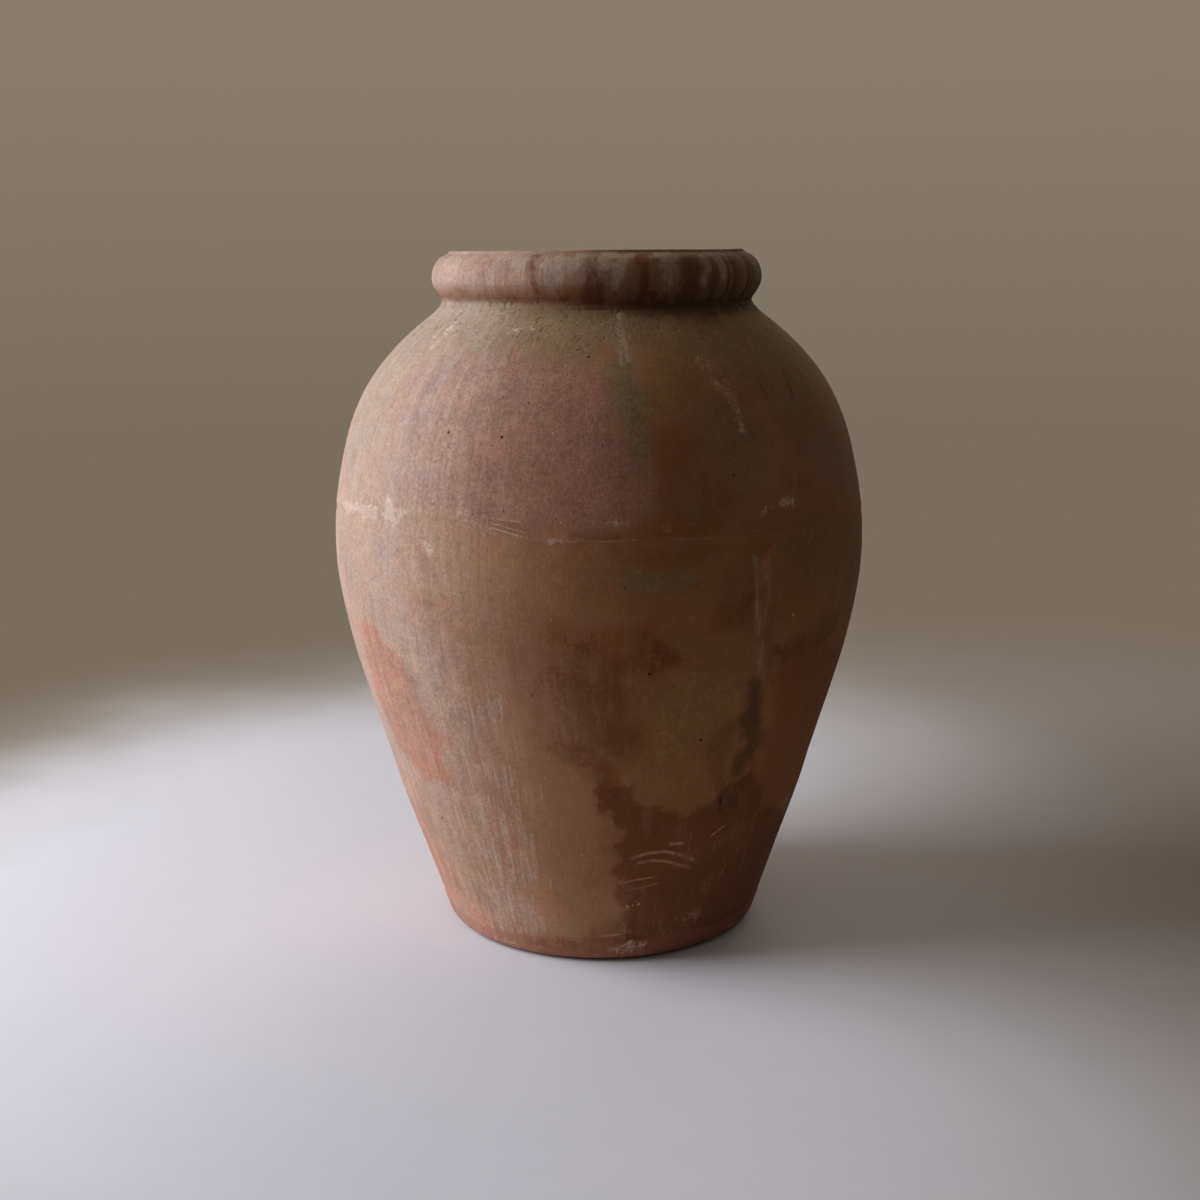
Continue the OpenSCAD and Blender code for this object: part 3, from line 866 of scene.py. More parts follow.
# (degrees, height, radius in mm, tone)
DOTS = [
    (-20, 536, 1.3, -1), (-33, 538, 1.2, -1), (10, 322, 1.6, -1), (23, 249, 1.6, -1), (-49, 145, 1.3, -.8),
    (8, 67, 1.8, .8), (11.5, 69, 1.6, .8), (42.5, 363, 2.0, 1), (65, 412, 2.2, .5), (-54, 313, 1.5, .7),
    (-55, 294, 1.4, .6), (-23, 622, 1.5, -.5), (-2, 605, 1.4, -.8), (-5, 611, 1.0, -.7), (1, 530, .9, -.6),
    (-2, 521, .8, -.6), (2.5, 513, .8, -.5), (13, 470, .9, -.5), (-7, 590, .9, -.6), (-15, 566, .9, -.6),
    (5, 405, 1.2, -.6), (-44, 408, 1.2, .5), (28, 500, 1.3, -.7), (36, 216, 1.4, -.6), (-14, 300, 1.2, -.5),
]


def scratch_fields(p, scratches):
    """Side distance in half widths and signed strength of the nearest scratch."""
    nearest = np.full(len(p.angle), 1e9)
    side, tone = np.full(len(p.angle), 4.0), np.zeros(len(p.angle))
    for path, wide, strength in scratches:
        gap, off, overrun = from_path(p, path)
        close = gap < nearest
        nearest[close] = gap[close]
        side[close] = np.clip(off / wide, -4, 4)[close]
        tone[close] = (strength * step(gap, 5.5, 3.5) * step(overrun, 3, 0))[close]
    return side, tone


def dot_fields(p):
    """Offsets from the nearest dot, in radii, and its tone."""
    nearest = np.full(len(p.angle), 1e9)
    x, y, tone = np.full(len(p.angle), 9.0), np.full(len(p.angle), 9.0), np.zeros(len(p.angle))
    for degrees, height, radius, strength in DOTS:
        across, up = p.offset(degrees, height)
        gap = np.hypot(across, up)
        close = (gap < nearest) & (gap < 12)
        nearest[close] = gap[close]
        x[close], y[close], tone[close] = (across / radius)[close], (up / radius)[close], strength
    return x, y, tone


print(len(SCRATCHES), "scratches and", len(DOTS), "dots")

# %% [markdown]
# ## Paint the masks onto the points
# Each stain becomes one named attribute on the mesh. Deposits that run right round the jar,
# such as the grey-green veil under the rim or the red of the foot, come from the height alone.
# The points also carry a place on the unrolled wall, so that noise can be drawn out into
# streaks that follow the wall's lean.

# %% Write the attributes
def write(piece, name, values, where=None):
    full = np.zeros(len(piece.data.vertices), np.float32)
    full[slice(None) if where is None else where] = values
    piece.data.attributes.new(name, "FLOAT", "POINT").data.foreach_set("value", full)


def write_wrap(piece, places):
    layer = piece.data.attributes.new("wrap", "FLOAT_VECTOR", "POINT")
    layer.data.foreach_set("vector", places.wrap.astype(np.float32).ravel())


def wall_masks(p):
    """Every stain of the wall by name, with painted light on the left flank and painted shade on the right."""
    rough = Rough(p)
    back = unseen(p)
    degrees, height = np.degrees(p.angle), p.height / MM
    masks = {name: areas(p, rough, marks) for name, marks in AREAS.items()}
    for table, lay in ((PATCHES, patches), (RUNS, runs)):
        for name, marks in table.items():
            masks[name] = np.maximum(masks[name], lay(p, rough, marks))
    # Under the rim, grey to the left and golden to the right
    veil = step(height + 14 * rough.coarse + 9 * rough.tall, 590, 622)
    golden = step(degrees, -12, 30) * (1 - back) + back * step(lumps(p.wrap, 0.3, 231, 2), -0.1, 0.3)
    masks["olive"] = np.maximum(masks["olive"], veil * (0.9 - 0.5 * golden))
    masks["ochre"] = np.maximum(masks["ochre"], veil * golden * 0.85)
    masks["ochre"] = np.maximum(masks["ochre"], 0.8 * step(height + 4 * rough.fine, 627, 637))
    masks["sienna"] = np.maximum(masks["sienna"], 0.6 * step(height, 637, 645) * step(np.abs(degrees + 10), 20, 8))
    # Painted light: the lit left flank is laid paler, as pale bloom, less so low down; round the back the bloom is
    # random
    masks["bloom_and_painted_light"] = step(degrees, -8, -52) * (1 - back) + back * 0.8 * anywhere(p, 0.2, 381, -0.2, 0.5)
    # Painted shade: the right flank is darkened and warmed, most of all low down; round the back the mask is a random
    # warm tone
    shade_by_height = 0.35 + 0.65 * step(height, 500, 420) * step(height, 40, 130)
    masks["painted_shade_and_warm_tone"] = step(degrees, -20, 16) * shade_by_height * (1 - back) + back * anywhere(p, 0.25, 391, -0.3, 0.3)
    masks["bloom_and_painted_light"] *= (1 - 0.55 * masks["salmon"]) * (1 - 0.4 * step(height, 260, 120) * (1 - back))
    # Painted shade: a dark band just under the rolled rim, stronger to the right
    masks["umber"] = np.maximum(masks["umber"], 0.8 * step(height + 5 * rough.fine, 632, 645) * (0.35 + 0.65 * golden))
    masks["crust"] = step(height + 12 * rough.coarse, 600, 628)
    # What the photo doesn't show
    hidden = {"mauve": (0.16, 241, 0.0, 0.4, step(height, 430, 480)), "olive": (0.14, 251, -0.05, 0.6, 0.6),
              "sienna": (0.11, 261, -0.1, 0.6, 0.7), "brick": (0.13, 271, -0.1, 0.4, step(height, 330, 200)),
              "salmon": (0.12, 281, -0.1, 0.6, 0.65 * step(height, 440, 300)), "lime": (0.05, 291, 0.1, 0.7, 0.65),
              "umber": (0.09, 301, 0.0, 0.8, 0.5), "ochre": (0.12, 311, -0.1, 0.5, 0.75)}
    for name, (size, seed, low, high, strength) in hidden.items():
        squeeze = (1, 1, 0.22) if name in ("lime", "umber") else (1, 1, 0.8)
        masks[name] = np.maximum(masks[name], back * strength * anywhere(p, size, seed, low, high, squeeze))
    crust = anywhere(p, 0.05, 321, 0.3, 0.7, (1, 1, 3)) * step(np.abs(height - seam_at(p.angle) / MM), 16, 4)
    masks["chalk"] = np.maximum(masks["chalk"], 0.7 * crust * back)
    return masks


def paint_wall(piece, places, outer):
    p = some(places, outer)
    for name, values in wall_masks(p).items():
        write(piece, name, values, outer)
    for name, table in (("scratch", SCRATCHES), ("other_scratch", MORE_SCRATCHES)):
        side, tone = scratch_fields(p, table)
        write(piece, name + "_side", side, outer)
        write(piece, name + "_tone", tone, outer)
    for name, values in zip(("dot_x", "dot_y", "dot_tone"), dot_fields(p)):
        write(piece, name, values, outer)
    write_wrap(piece, places)


for piece, places, outer in ((lower_wall, lower_places, lower_outer), (upper_wall, upper_places, upper_outer),
                             (foot_slab, slab_places, slab_outer)):
    paint_wall(piece, places, outer)
write(foot_slab, "foot", step(slab_places.height / MM + 5 * lumps(slab_places.points, 0.03, 331, 3), 29, 20))
for piece, places in ((corner_coil, corner_places), (belly_band, band_places), (rim_roll, rim_places)):
    write_wrap(piece, places)
print("wall attributes:", sorted(a.name for a in lower_wall.data.attributes if a.data_type == "FLOAT"))

# %% [markdown]
# ## The rim's own marks
# Dark runs of old oil cross the rolled rim, most of them on the right, with whitish lime
# between. The roll's underside is cleaner and more orange, its top and inner lip are rubbed pale.
# Painted shade darkens the groove under the roll and a thin line at the front of the top ledge.

# %% Paint the rim
def rim_masks(p):
    rough = Rough(p)
    back = unseen(p)
    seen = 1 - back
    degrees, depth = np.degrees(p.angle), (jar_height - p.height) / MM
    front = step(p.radius, mouth_radius + 0.017, mouth_radius + 0.024)
    smear = anywhere(p, 0.011, 341, 0.0, 0.55, (1, 1, 0.13))
    drip = runs(p, rough, RIM_DRIPS, 1.0) * (0.8 + 0.3 * rough.tall)
    drip = np.maximum(drip, 0.65 * smear * step(degrees, 24, 44) * seen)
    drip = np.maximum(drip, 0.75 * smear * back * step(depth, 2, 8))
    drip = np.maximum(drip, 0.7 * step(np.abs(depth - 42), 8, 3) * anywhere(p, 0.02, 351, 0.25, 0.6))
    masks = {"drip": drip * front}
    low_band = step(np.abs(depth - 40 + 4 * rough.coarse), 13, 5) * step(degrees, 12, -6)
    masks["sienna"] = low_band * (0.45 + 0.4 * anywhere(p, 0.05, 353, -0.1, 0.4)) * front
    masks["lime"] = front * np.maximum(areas(p, rough, RIM_LIME), 0.7 * back * anywhere(p, 0.04, 361, 0.1, 0.5))
    base = step(depth + 3 * rough.fine, 43, 51)
    masks["olive"] = front * np.maximum(0.75 * step(degrees, 12, 34) * seen + back * anywhere(p, 0.08, 357, 0.0, 0.5),
                                        base * step(degrees, 0, -40))
    masks["mauve"] = 0.45 * step(degrees, 0, -25) * step(np.abs(depth - 18), 24, 12) * front
    masks["salmon"] = 0.45 * anywhere(p, 0.07, 371, 0.0, 0.5) * front
    # Painted light: the upper left of the roll and its underside on the left are laid paler, as pale bloom; round the
    # back it is random
    masks["bloom_and_painted_light"] = np.maximum(step(degrees, 10, -44) * step(depth, 48, 28), base * step(degrees, -10, -45)) * seen
    masks["bloom_and_painted_light"] *= 0.75 + 0.35 * rough.coarse
    masks["bloom_and_painted_light"] += 0.6 * back * anywhere(p, 0.2, 381, -0.2, 0.5)
    # Painted shade on the right of the roll; round the back a random warm tone
    masks["painted_shade_and_warm_tone"] = 0.5 * step(degrees, -20, 16) * seen + back * anywhere(p, 0.25, 391, -0.3, 0.3)
    # Painted shade: a dark line along the front of the top ledge
    top_ledge_shade = 0.8 * step(np.abs(depth - 1.3), 1.8, 0.6) * step(degrees, -12, 8) * seen
    # Painted shade in the groove under the roll, strongest at the front and right
    groove_shade = base * (0.15 + 0.7 * np.maximum(step(degrees, -35, 15) * seen, 0.6 * back))
    masks["umber"] = np.maximum(top_ledge_shade, groove_shade) * front
    masks["ochre"] = 0.55 * base * step(degrees, -70, -30) * front
    masks["crust"] = step(depth + 4 * rough.coarse, 38, 50) * front
    # The top and the inner lip are dirty in patches
    for name, seed, size in (("umber", 401, 0.03), ("lime", 411, 0.022), ("olive", 421, 0.06)):
        masks[name] = np.maximum(masks[name], (1 - front) * 0.6 * anywhere(p, size, seed, 0.0, 0.7))
    masks["rubbed"] = step(p.radius, mouth_radius + 0.026, mouth_radius + 0.020) * step(depth, 16, 6)
    masks["inside"] = (p.radius < mouth_radius + 0.002) * step(depth, 8, 26)
    return masks


for name, values in rim_masks(rim_places).items():
    write(rim_roll, name, values)
print("rim attributes:", sorted(a.name for a in rim_roll.data.attributes if a.data_type == "FLOAT"))

# %% [markdown]
# ## A bench for mixing materials
# Fired, unglazed clay is matt and grainy, and no two hand-widths of it have one colour.
# Each finish is a tree of nodes. Wiring dozens of nodes by hand hides what they do, so a small
# bench object adds a node, plugs its inputs in and hands back its output, in one short call.
# Colours are written as a colour picker shows them and turned into linear light once.

# %% A bench for nodes
def tone(red, green, blue):
    """A colour picker's 0 to 255 numbers as linear light."""
    def linear(v):
        v /= 255
        return v / 12.92 if v <= 0.04045 else ((v + 0.055) / 1.055) ** 2.4
    return (linear(red), linear(green), linear(blue), 1)


class Bench:
    def __init__(self, name):
        self.material = bpy.data.materials.new(name)
        self.material.use_nodes = True
        self.tree = self.material.node_tree
        self.tree.nodes.clear()
        self.place = self.add("ShaderNodeTexCoord", {}, "Object")

    def add(self, kind, inputs, output=0, **settings):
        node = self.tree.nodes.new(kind)
        for key, value in settings.items():
            setattr(node, key, value)
        for key, value in inputs.items():
            if isinstance(value, bpy.types.NodeSocket):
                self.tree.links.new(value, node.inputs[key])
            else:
                node.inputs[key].default_value = value
        return node.outputs[output] if len(node.outputs) else node

    def mask(self, name, output="Fac"):
        return self.add("ShaderNodeAttribute", {}, output, attribute_name=name)

    def stretched(self, place, by):
        return self.add("ShaderNodeVectorMath", {0: place, 1: by}, operation="MULTIPLY")

    def noise(self, size_mm, place=None, detail=4, rough=0.6):
        """Noise from 0 to 1 whose largest grains are about size_mm wide."""
        return self.add("ShaderNodeTexNoise", {"Vector": place or self.place, "Scale": 1000 / size_mm,
                                               "Detail": detail, "Roughness": rough})

    def cells(self, size_mm, output, place=None):
        return self.add("ShaderNodeTexVoronoi", {"Vector": place or self.place, "Scale": 1000 / size_mm}, output)

    def maths(self, operation, *values):
        return self.add("ShaderNodeMath", dict(enumerate(values)), operation=operation)

    def total(self, *terms):
        """Sum of (value, weight) pairs."""
        result = 0.0
        for value, weight in terms:
            result = self.maths("MULTIPLY_ADD", value, weight, result)
        return result

    def rise(self, value, low, high, top=1.0):
        return self.add("ShaderNodeMapRange", {"Value": value, "From Min": low, "From Max": high, "To Min": 0.0,
                                               "To Max": top}, interpolation_type="SMOOTHSTEP")

    def mix(self, share, under, over, how="MIX"):
        node = self.tree.nodes.new("ShaderNodeMix")
        node.data_type, node.blend_type = "RGBA", how
        for socket, value in ((node.inputs[0], share), (node.inputs[6], under), (node.inputs[7], over)):
            if isinstance(value, bpy.types.NodeSocket):
                self.tree.links.new(value, socket)
            else:
                socket.default_value = value
        return node.outputs[2]

    def shaded(self, colour, value):
        """The colour times a number."""
        return self.add("ShaderNodeVectorMath", {0: colour, "Scale": value}, operation="SCALE")

    def fire(self, colour, roughness, height_mm, sheen=0.0):
        """Ends the tree: matt clay with this colour, roughness and relief in mm."""
        bump = self.add("ShaderNodeBump", {"Height": height_mm, "Strength": 1.0, "Distance": MM})
        clay = self.add("ShaderNodeBsdfPrincipled", {"Base Color": colour, "Roughness": roughness, "Normal": bump,
                                                     "Specular IOR Level": 0.14, "Sheen Weight": sheen, "Sheen Roughness": 0.5})
        self.add("ShaderNodeOutputMaterial", {"Surface": clay})
        return self.material


print("mid clay in linear light:", [round(v, 3) for v in tone(178, 128, 100)[:3]])

# %% [markdown]
# ## Weathered clay
# One recipe serves the wall, the rim and the foot, because they were fired and stained together.
# It starts with a ground of clay tones, lays each stain over it where its mask and the
# noise agree, paints the left flank paler as light and the right flank darker as shade, adds grit, pinholes and
# scratches, and ends with the grain of the clay itself.
# Real clay varies about as much from grain to grain as from hand to hand, so the noise
# keeps its fine layers strong. The stains end softly: a hard edge would look like paint.
# The order matters: lime and chalk lie over everything, and the grain runs through all of it.

# %% Mix the weathered clay
# Stain: two tones, raggedness, mask value at half cover, softness, most cover, relief in mm
STAINS = {
    "salmon": (tone(198, 130, 106), tone(178, 110, 88), 0.8, 0.48, 0.30, 0.80, 0),
    "sienna": (tone(152, 92, 58), tone(124, 74, 46), 1.2, 0.54, 0.48, 0.76, 0),
    "brick": (tone(124, 70, 42), tone(96, 55, 33), 1.4, 0.50, 0.42, 0.84, 0),
    "mauve": (tone(184, 136, 120), tone(152, 105, 91), 0.6, 0.45, 0.40, 0.90, 0),
    "ochre": (tone(168, 130, 90), tone(138, 104, 70), 1.0, 0.50, 0.42, 0.75, 0),
    "olive": (tone(154, 136, 108), tone(116, 100, 76), 1.0, 0.48, 0.42, 0.80, 0),
    "umber": (tone(98, 66, 44), tone(78, 52, 34), 0.8, 0.50, 0.48, 0.80, 0),
    "lime": (tone(198, 178, 162), tone(178, 154, 138), 1.1, 0.55, 0.50, 0.66, 0.04),
    "drip": (tone(126, 70, 52), tone(92, 52, 40), 1.1, 0.52, 0.36, 0.86, 0),
    "bloom_and_painted_light": (tone(208, 189, 179), tone(194, 171, 160), 0.5, 0.54, 0.60, 0.62, 0),
    "chalk": (tone(220, 200, 188), tone(202, 174, 158), 1.3, 0.54, 0.34, 0.72, 0.14),
}


def weathered(name, ground, stains, grit=1.0):
    k = Bench(name)
    wall = k.mask("wrap", "Vector")
    grain, sand = k.noise(1.3, detail=2), k.noise(3.6, detail=3)
    fleck = k.noise(26, detail=8, rough=0.8)
    warmth = k.noise(38, k.stretched(k.place, (-1, 1, 1)), detail=8, rough=0.8)
    cloud = k.noise(90, detail=3)
    streak = k.noise(11, k.stretched(wall, (1, 1, 0.09)), detail=5, rough=0.75)
    wiped = k.noise(3.2, k.stretched(wall, (0.07, 0.07, 1)), detail=2)
    brushed = k.noise(2.4, k.stretched(wall, (1, 1, 0.05)), detail=3)
    # Two ragged fields round 0, most of them within plus and minus a half. The second is drawn out into strokes
    ragged = k.total((fleck, 1.3), (sand, 1.0), (grain, 0.5), (streak, 1.0), (warmth, 1.0), (1.0, -2.4))
    stroked = k.total((brushed, 1.5), (streak, 1.5), (fleck, 0.5), (sand, 0.6), (1.0, -2.05))
    half = k.maths("ADD", ragged, 0.5)

    colour = k.mix(k.rise(cloud, 0.35, 0.65), ground[0], ground[1])
    relief = k.total((grain, 0.12), (sand, 0.24), (fleck, 0.55), (wiped, 0.10), (brushed, 0.05))
    # Painted shade: the right flank and its lower part turn a dark warm brown, with fewer pale flakes; round the back
    # in random patches
    colour = k.mix(k.rise(k.total((k.mask("painted_shade_and_warm_tone"), 1.0), (ragged, 0.6)), 0.0, 1.0, 0.6), colour, tone(148, 104, 70))
    for stain in stains:
        light, dark, raggedness, middle, soft, most, thick = STAINS[stain]
        uneven = k.maths("MULTIPLY_ADD", stroked if stain in ("lime", "bloom_and_painted_light") else ragged, raggedness, k.mask(stain))
        cover = k.rise(uneven, middle - soft, middle + soft, most)
        # No stain where its mask is 0, however strong the noise
        cover = k.maths("MULTIPLY", cover, k.rise(k.mask(stain), 0.0, 0.15))
        colour = k.mix(cover, colour, k.mix(half, dark, light))
        if thick:
            relief = k.maths("MULTIPLY_ADD", cover, thick, relief)

    # Painted shade: the right flank, most of all low down, is multiplied darker and warmer; round the back the same
    # mask gives random warm patches
    painted_shade_tint = k.mix(k.mask("painted_shade_and_warm_tone"), (1, 1, 1, 1), (0.91, 0.87, 0.72, 1))
    colour = k.mix(1.0, colour, painted_shade_tint, "MULTIPLY")

    # Grit: black specks, most of them in the mauve bloom, and pale lime specks
    near, pick = k.cells(5.2, "Distance"), k.add("ShaderNodeSeparateColor", {0: k.cells(5.2, "Color")}, 0)
    rare = k.rise(k.maths("MULTIPLY_ADD", k.mask("mauve"), 0.25 * grit, pick), 0.92, 0.96)
    speck = k.maths("MULTIPLY", k.rise(near, 0.20, 0.06), rare)
    colour = k.mix(k.maths("MULTIPLY", speck, 0.55), colour, tone(76, 54, 46))
    near_pale, pick_pale = k.cells(7, "Distance"), k.add("ShaderNodeSeparateColor", {0: k.cells(7, "Color")}, 1)
    flake = k.maths("MULTIPLY", k.rise(near_pale, 0.18, 0.08), k.rise(pick_pale, 0.84, 0.9))
    colour = k.mix(k.maths("MULTIPLY", flake, k.rise(k.mask("painted_shade_and_warm_tone"), 1.0, 0.0, 0.4)), colour, tone(214, 192, 172))
    relief = k.total((speck, -0.35), (flake, 0.1), (relief, 1.0))

    # Crusted dirt round the neck, with pits where it flaked off
    pit = k.maths("MULTIPLY", k.rise(k.noise(8, detail=3, rough=0.7), 0.55, 0.68), k.rise(k.mask("crust"), 0.1, 0.9))
    colour = k.mix(k.maths("MULTIPLY", pit, 0.36), colour, tone(98, 78, 56))
    relief = k.total((pit, -0.45), (relief, 1.0))

    # Scratches and dots, drawn from their distances
    edge = k.maths("MULTIPLY_ADD", sand, 0.9, k.maths("ABSOLUTE", k.mask("scratch_side")))
    line = k.maths("MULTIPLY", k.rise(edge, 1.7, 0.7), k.mask("scratch_tone"))
    edge = k.maths("MULTIPLY_ADD", sand, 0.9, k.maths("ABSOLUTE", k.mask("other_scratch_side")))
    line = k.maths("MULTIPLY_ADD", k.rise(edge, 1.7, 0.7), k.mask("other_scratch_tone"), line)
    line = k.maths("MULTIPLY", line, k.rise(ragged, -0.45, 0.15))
    round_x, round_y = k.mask("dot_x"), k.mask("dot_y")
    reach = k.maths("SQRT", k.maths("MULTIPLY_ADD", round_x, round_x, k.maths("MULTIPLY", round_y, round_y)))
    dot = k.maths("MULTIPLY", k.rise(reach, 1.15, 0.75), k.mask("dot_tone"))
    mark = k.maths("ADD", line, dot)
    colour = k.mix(k.rise(mark, 0.02, 1.1, 0.75), colour, tone(206, 172, 144))
    colour = k.mix(k.rise(mark, -0.02, -1.0, 0.95), colour, tone(58, 34, 28))
    relief = k.maths("MULTIPLY_ADD", k.rise(mark, -0.05, -0.8), -0.9, relief)

    # Grain and warmth through everything
    shade = k.total((grain, 0.64), (sand, 0.50), (fleck, 0.56), (streak, 0.14), (wiped, 0.08), (brushed, 0.06), (1.0, 0.01))
    colour = k.shaded(colour, shade)
    colour = k.mix(1.0, colour, k.mix(k.rise(warmth, 0.30, 0.70), (0.94, 1.0, 1.09, 1), (1.06, 0.99, 0.90, 1)), "MULTIPLY")
    return k, colour, k.total((fleck, 0.25), (sand, 0.08), (1.0, 0.68)), relief, half


WALL_STAINS = ["salmon", "sienna", "brick", "mauve", "ochre", "olive", "umber", "bloom_and_painted_light", "lime", "chalk"]
k, colour, rough, relief, broken = weathered("wall_clay", (tone(180, 130, 102), tone(164, 116, 88)), WALL_STAINS)
wall_clay = k.fire(colour, rough, relief, sheen=0.04)
print("wall clay has", len(wall_clay.node_tree.nodes), "nodes")

# %% [markdown]
# ## The rim's clay
# The rim is handled and knocked more than any other part. It has the wall's recipe with the
# dark drips, and where hands and lids rub its top and inner lip, the clay shows pale and smoother.

# %% Mix the rim's clay
k, colour, rough, relief, broken = weathered(
    "rim_clay", (tone(168, 132, 110), tone(150, 114, 94)),
    ["salmon", "mauve", "ochre", "olive", "sienna", "bloom_and_painted_light", "lime", "drip", "umber"], grit=0.5)
rubbed = k.rise(k.total((k.mask("rubbed"), 1.0), (broken, 1.3)), 0.9, 1.9, 0.6)
colour = k.mix(rubbed, colour, tone(196, 158, 134))
rough = k.total((rubbed, -0.1), (rough, 1.0))
colour = k.mix(k.rise(k.mask("inside"), 0, 1, 0.9), colour, k.mix(broken, tone(134, 86, 62), tone(176, 118, 88)))
rim_clay = k.fire(colour, rough, relief, sheen=0.04)

# %% [markdown]
# ## The foot's clay
# The foot never dried as fully and took up iron from the ground, so it is brick red.
# Moving the jar about on stone has scuffed its edge pale, and a dark line of painted shade runs along its bottom edge
# where it meets the floor.

# %% Mix the foot's clay
k, colour, rough, relief, broken = weathered(
    "foot_clay", (tone(176, 120, 94), tone(158, 104, 80)), ["salmon", "brick", "ochre", "umber", "bloom_and_painted_light", "lime", "chalk"], grit=0.6)
band = k.mix(broken, tone(140, 84, 66), tone(188, 126, 104))
colour = k.mix(k.rise(k.mask("foot"), 0, 1, 0.28), colour, band)
height = k.add("ShaderNodeSeparateXYZ", {0: k.place}, 2)
scuff = k.maths("MULTIPLY", k.rise(k.noise(9, k.stretched(k.mask("wrap", "Vector"), (0.35, 0.35, 1)), detail=5, rough=0.7), 0.56, 0.7),
                k.rise(height, 0.022, 0.010))
colour = k.mix(k.maths("MULTIPLY", scuff, 0.6), colour, tone(206, 170, 148))
# Painted shade where the foot meets the floor
contact_shade = k.rise(k.maths("MULTIPLY_ADD", broken, 0.006, height), 0.0075, 0.0035, 0.8)
colour = k.mix(contact_shade, colour, tone(84, 58, 46))
foot_clay = k.fire(colour, rough, relief, sheen=0.04)

# %% [markdown]
# ## The clay inside
# Rain and light hardly reach the inside, so it keeps the clean orange of the fired clay.
# The throwing rings are in the mesh. The finish adds slip drawn out along them, a few runs
# from the mouth, and dust and a darker tide line near the floor.

# %% Mix the inner clay
k = Bench("inner_clay")
wall = k.mask("wrap", "Vector")
grain, sand, mottle, cloud = k.noise(1.2, detail=3), k.noise(3.8), k.noise(22, detail=5), k.noise(90, detail=3)
slip = k.noise(3.0, k.stretched(wall, (0.05, 0.05, 1)))
trickle = k.noise(9, k.stretched(wall, (1, 1, 0.06)), detail=5)
height = k.add("ShaderNodeSeparateXYZ", {0: k.place}, 2)
uneven = k.total((mottle, 0.5), (slip, 0.3), (cloud, 0.2))
colour = k.mix(k.rise(uneven, 0.36, 0.64), tone(146, 92, 66), tone(186, 126, 94))
tide = k.maths("MULTIPLY", k.rise(k.maths("MULTIPLY_ADD", mottle, 0.12, height), 0.27, 0.16), 0.6)
colour = k.mix(tide, colour, tone(112, 82, 62))
run = k.maths("MULTIPLY", k.rise(trickle, 0.58, 0.72), k.rise(height, 0.35, 0.6, 0.5))
colour = k.mix(run, colour, tone(104, 74, 56))
dust = k.rise(k.total((height, -26.0), (mottle, 1.0), (sand, 0.5)), -0.35, 0.25, 0.65)
colour = k.mix(dust, colour, tone(164, 140, 116))
colour = k.shaded(colour, k.total((grain, 0.22), (sand, 0.2), (mottle, 0.15), (slip, 0.14), (1.0, 0.64)))
relief = k.total((grain, 0.14), (sand, 0.25), (mottle, 0.4), (slip, 0.35))
inner_clay = k.fire(colour, k.total((mottle, 0.14), (1.0, 0.78)), relief)

# %% [markdown]
# ## Dress the pieces
# A piece has two material slots, the first for its outer face and the second for the rest.
# Each piece then rides on the jar's one body
# and stands in for its CAD node, which keeps its work in the physics model.

# %% Give out the materials
DRESS = [(foot_slab, foot_clay, inner_clay, "foot_clay", "base_slab"),
         (lower_wall, wall_clay, inner_clay, "wall_clay", "lower_body"),
         (upper_wall, wall_clay, inner_clay, "wall_clay", "upper_body"),
         (rim_roll, rim_clay, rim_clay, "rim_clay", "rim_collar"),
         (corner_coil, inner_clay, inner_clay, "inner_clay", "base_joint_coil"),
         (belly_band, inner_clay, inner_clay, "inner_clay", "belly_joint_coil")]
for piece, outside, inside, slot, node in DRESS:
    piece.data.materials.append(outside)
    piece.data.materials.append(inside)
    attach(piece, "root")
    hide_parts(node)
print([p.name for p, *_ in DRESS])

# %% [markdown]
# ## The floor
# The jar stands on a pale, slightly cool floor that runs off into a taupe distance and is painted darker to the right,
# as painted shade.
# A wall behind it would cut across some of the other views, so the floor is a large disc whose
# colour changes with the distance from the jar and which fades away at its edge.

# %% Lay the floor
def disc(name, radii, columns):
    angle = np.arange(columns) * 2 * math.pi / columns
    ring = np.stack([np.cos(angle), np.sin(angle), np.zeros(columns)], 1)
    points = np.concatenate([[[0, 0, 0]]] + [ring * r for r in radii])
    faces = [(0, 1 + c, 1 + (c + 1) % columns) for c in range(columns)]
    for r in range(len(radii) - 1):
        a, b = 1 + r * columns, 1 + (r + 1) * columns
        faces += [(a + c, b + c, b + (c + 1) % columns, a + (c + 1) % columns) for c in range(columns)]
    mesh = bpy.data.meshes.new(name)
    mesh.from_pydata(points.tolist(), [], faces)
    thing = bpy.data.objects.new(name, mesh)
    bpy.context.scene.collection.objects.link(thing)
    return thing


floor = disc("floor", [0.3, 0.8, 1.2, 1.6, 2], 128)
k = Bench("floor_plaster")
away = k.add("ShaderNodeVectorMath", {0: k.place}, "Value", operation="LENGTH")
edge = k.maths("MULTIPLY_ADD", k.noise(400, detail=2), 0.3, away)
aside = k.add("ShaderNodeSeparateXYZ", {0: k.place}, 0)
colour = k.mix(k.rise(edge, 0.8, 1.4), tone(226, 226, 236), tone(170, 162, 154))
# Painted shade: the floor is darker towards the right
colour = k.mix(k.rise(aside, 0.1, 0.8), colour, tone(168, 161, 158))
colour = k.shaded(colour, k.total((k.noise(40), 0.05), (k.noise(3), 0.04), (1.0, 0.955)))
plaster = k.add("ShaderNodeBsdfPrincipled", {"Base Color": colour, "Roughness": 0.9, "Specular IOR Level": 0.2})
clear = k.add("ShaderNodeBsdfTransparent", {})
faded = k.add("ShaderNodeMixShader", {0: k.rise(k.maths("MULTIPLY_ADD", aside, -0.15, edge), 1.05, 1.7), 1: plaster, 2: clear})
k.add("ShaderNodeOutputMaterial", {"Surface": faded})
floor.data.materials.append(k.material)
print("floor radius 2 m, faded out by 1.75 m")

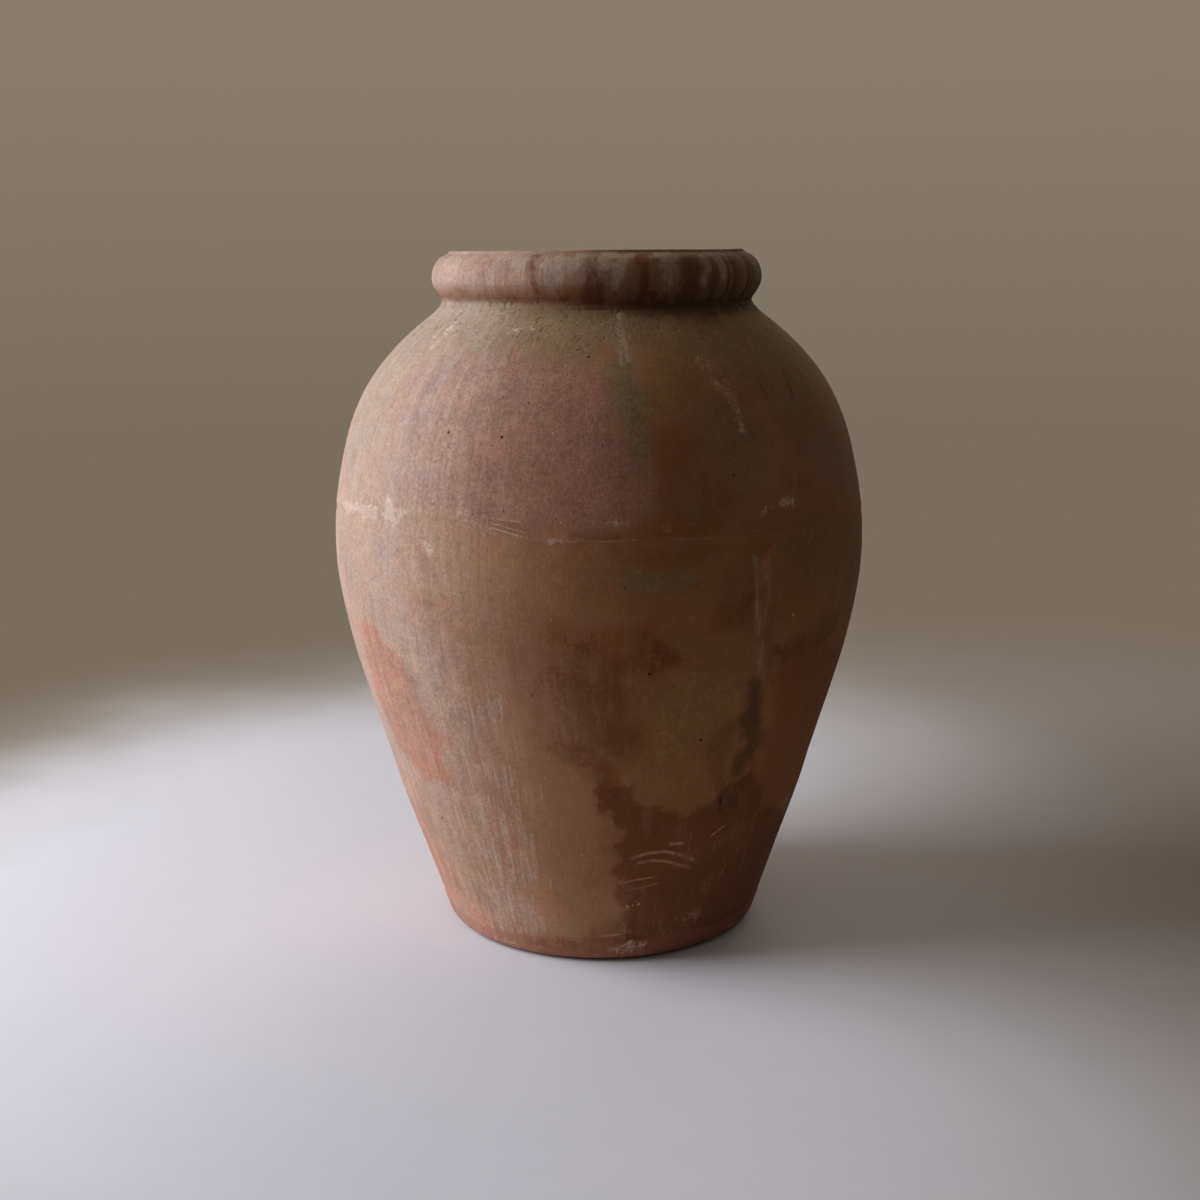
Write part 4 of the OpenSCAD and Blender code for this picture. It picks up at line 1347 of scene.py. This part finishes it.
# %% [markdown]
# ## Light
# A large soft lamp stands to the left of the jar, as a tall window would, and lights its left
# flank so that a colour renders about as it is written. Its light is a little cool.
# A warm sky fills the shade on the right, and a weak lamp behind gives the back its roundness.
# The camera alone sees a quiet taupe background instead of the sky, and it doesn't see the lamps.

# %% Set the lamps and the sky
def soft_lamp(name, place, size, watts, colour):
    lamp = bpy.data.lights.new(name, "AREA")
    lamp.shape, lamp.size, lamp.size_y = "RECTANGLE", size, size
    lamp.energy, lamp.color = watts, colour
    holder = bpy.data.objects.new(name, lamp)
    bpy.context.scene.collection.objects.link(holder)
    holder.location = place
    holder.rotation_euler = (Vector((0, 0, 0.35)) - holder.location).to_track_quat("-Z", "Y").to_euler()
    holder.visible_camera = False
    return lamp


window = soft_lamp("window", (-2.3, -0.15, 1.35), 1.8, 73, (0.975, 0.99, 1.02))
back_lamp = soft_lamp("back_lamp", (0.9, 2.6, 1.6), 2.0, 17, (1.0, 0.84, 0.68))

sky = bpy.data.worlds.new("sky")
bpy.context.scene.world = sky
sky.use_nodes = True
nodes, links = sky.node_tree.nodes, sky.node_tree.links
nodes.clear()
fill = nodes.new("ShaderNodeBackground")
fill.inputs["Color"].default_value = (1.0, 0.89, 0.74, 1)
seen = nodes.new("ShaderNodeBackground")
seen.inputs["Strength"].default_value = 1
direction = nodes.new("ShaderNodeTexCoord")
split = nodes.new("ShaderNodeSeparateXYZ")
ramp = nodes.new("ShaderNodeValToRGB")
lift = nodes.new("ShaderNodeMapRange")
lift.inputs["From Min"].default_value, lift.inputs["From Max"].default_value = -0.5, 0.5
ramp.color_ramp.elements[0].position, ramp.color_ramp.elements[0].color = 0.40, tone(122, 110, 96)
ramp.color_ramp.elements[1].position, ramp.color_ramp.elements[1].color = 0.60, tone(136, 124, 109)
overhead = nodes.new("ShaderNodeMapRange")
overhead.inputs["From Min"].default_value, overhead.inputs["From Max"].default_value = -0.1, 1.0
overhead.inputs["To Min"].default_value, overhead.inputs["To Max"].default_value = 0.02, 0.21
which = nodes.new("ShaderNodeMixShader")
rays = nodes.new("ShaderNodeLightPath")
out = nodes.new("ShaderNodeOutputWorld")
links.new(direction.outputs["Generated"], split.inputs[0])
links.new(split.outputs["Z"], lift.inputs["Value"])
links.new(lift.outputs[0], ramp.inputs["Fac"])
links.new(split.outputs["Z"], overhead.inputs["Value"])
links.new(overhead.outputs[0], fill.inputs["Strength"])
links.new(ramp.outputs["Color"], seen.inputs["Color"])
links.new(rays.outputs["Is Camera Ray"], which.inputs[0])
links.new(fill.outputs[0], which.inputs[1])
links.new(seen.outputs[0], which.inputs[2])
links.new(which.outputs[0], out.inputs["Surface"])
print("lamps", window.energy, "and", back_lamp.energy, "W, sky from", *(round(overhead.inputs[end].default_value, 2) for end in ("To Min", "To Max")))

# %% [markdown]
# ## Finish
# Colours are shown as they are, with the plain view transform.

# %% Finish
bpy.context.scene.view_settings.view_transform = "Standard"
bpy.context.view_layer.update()
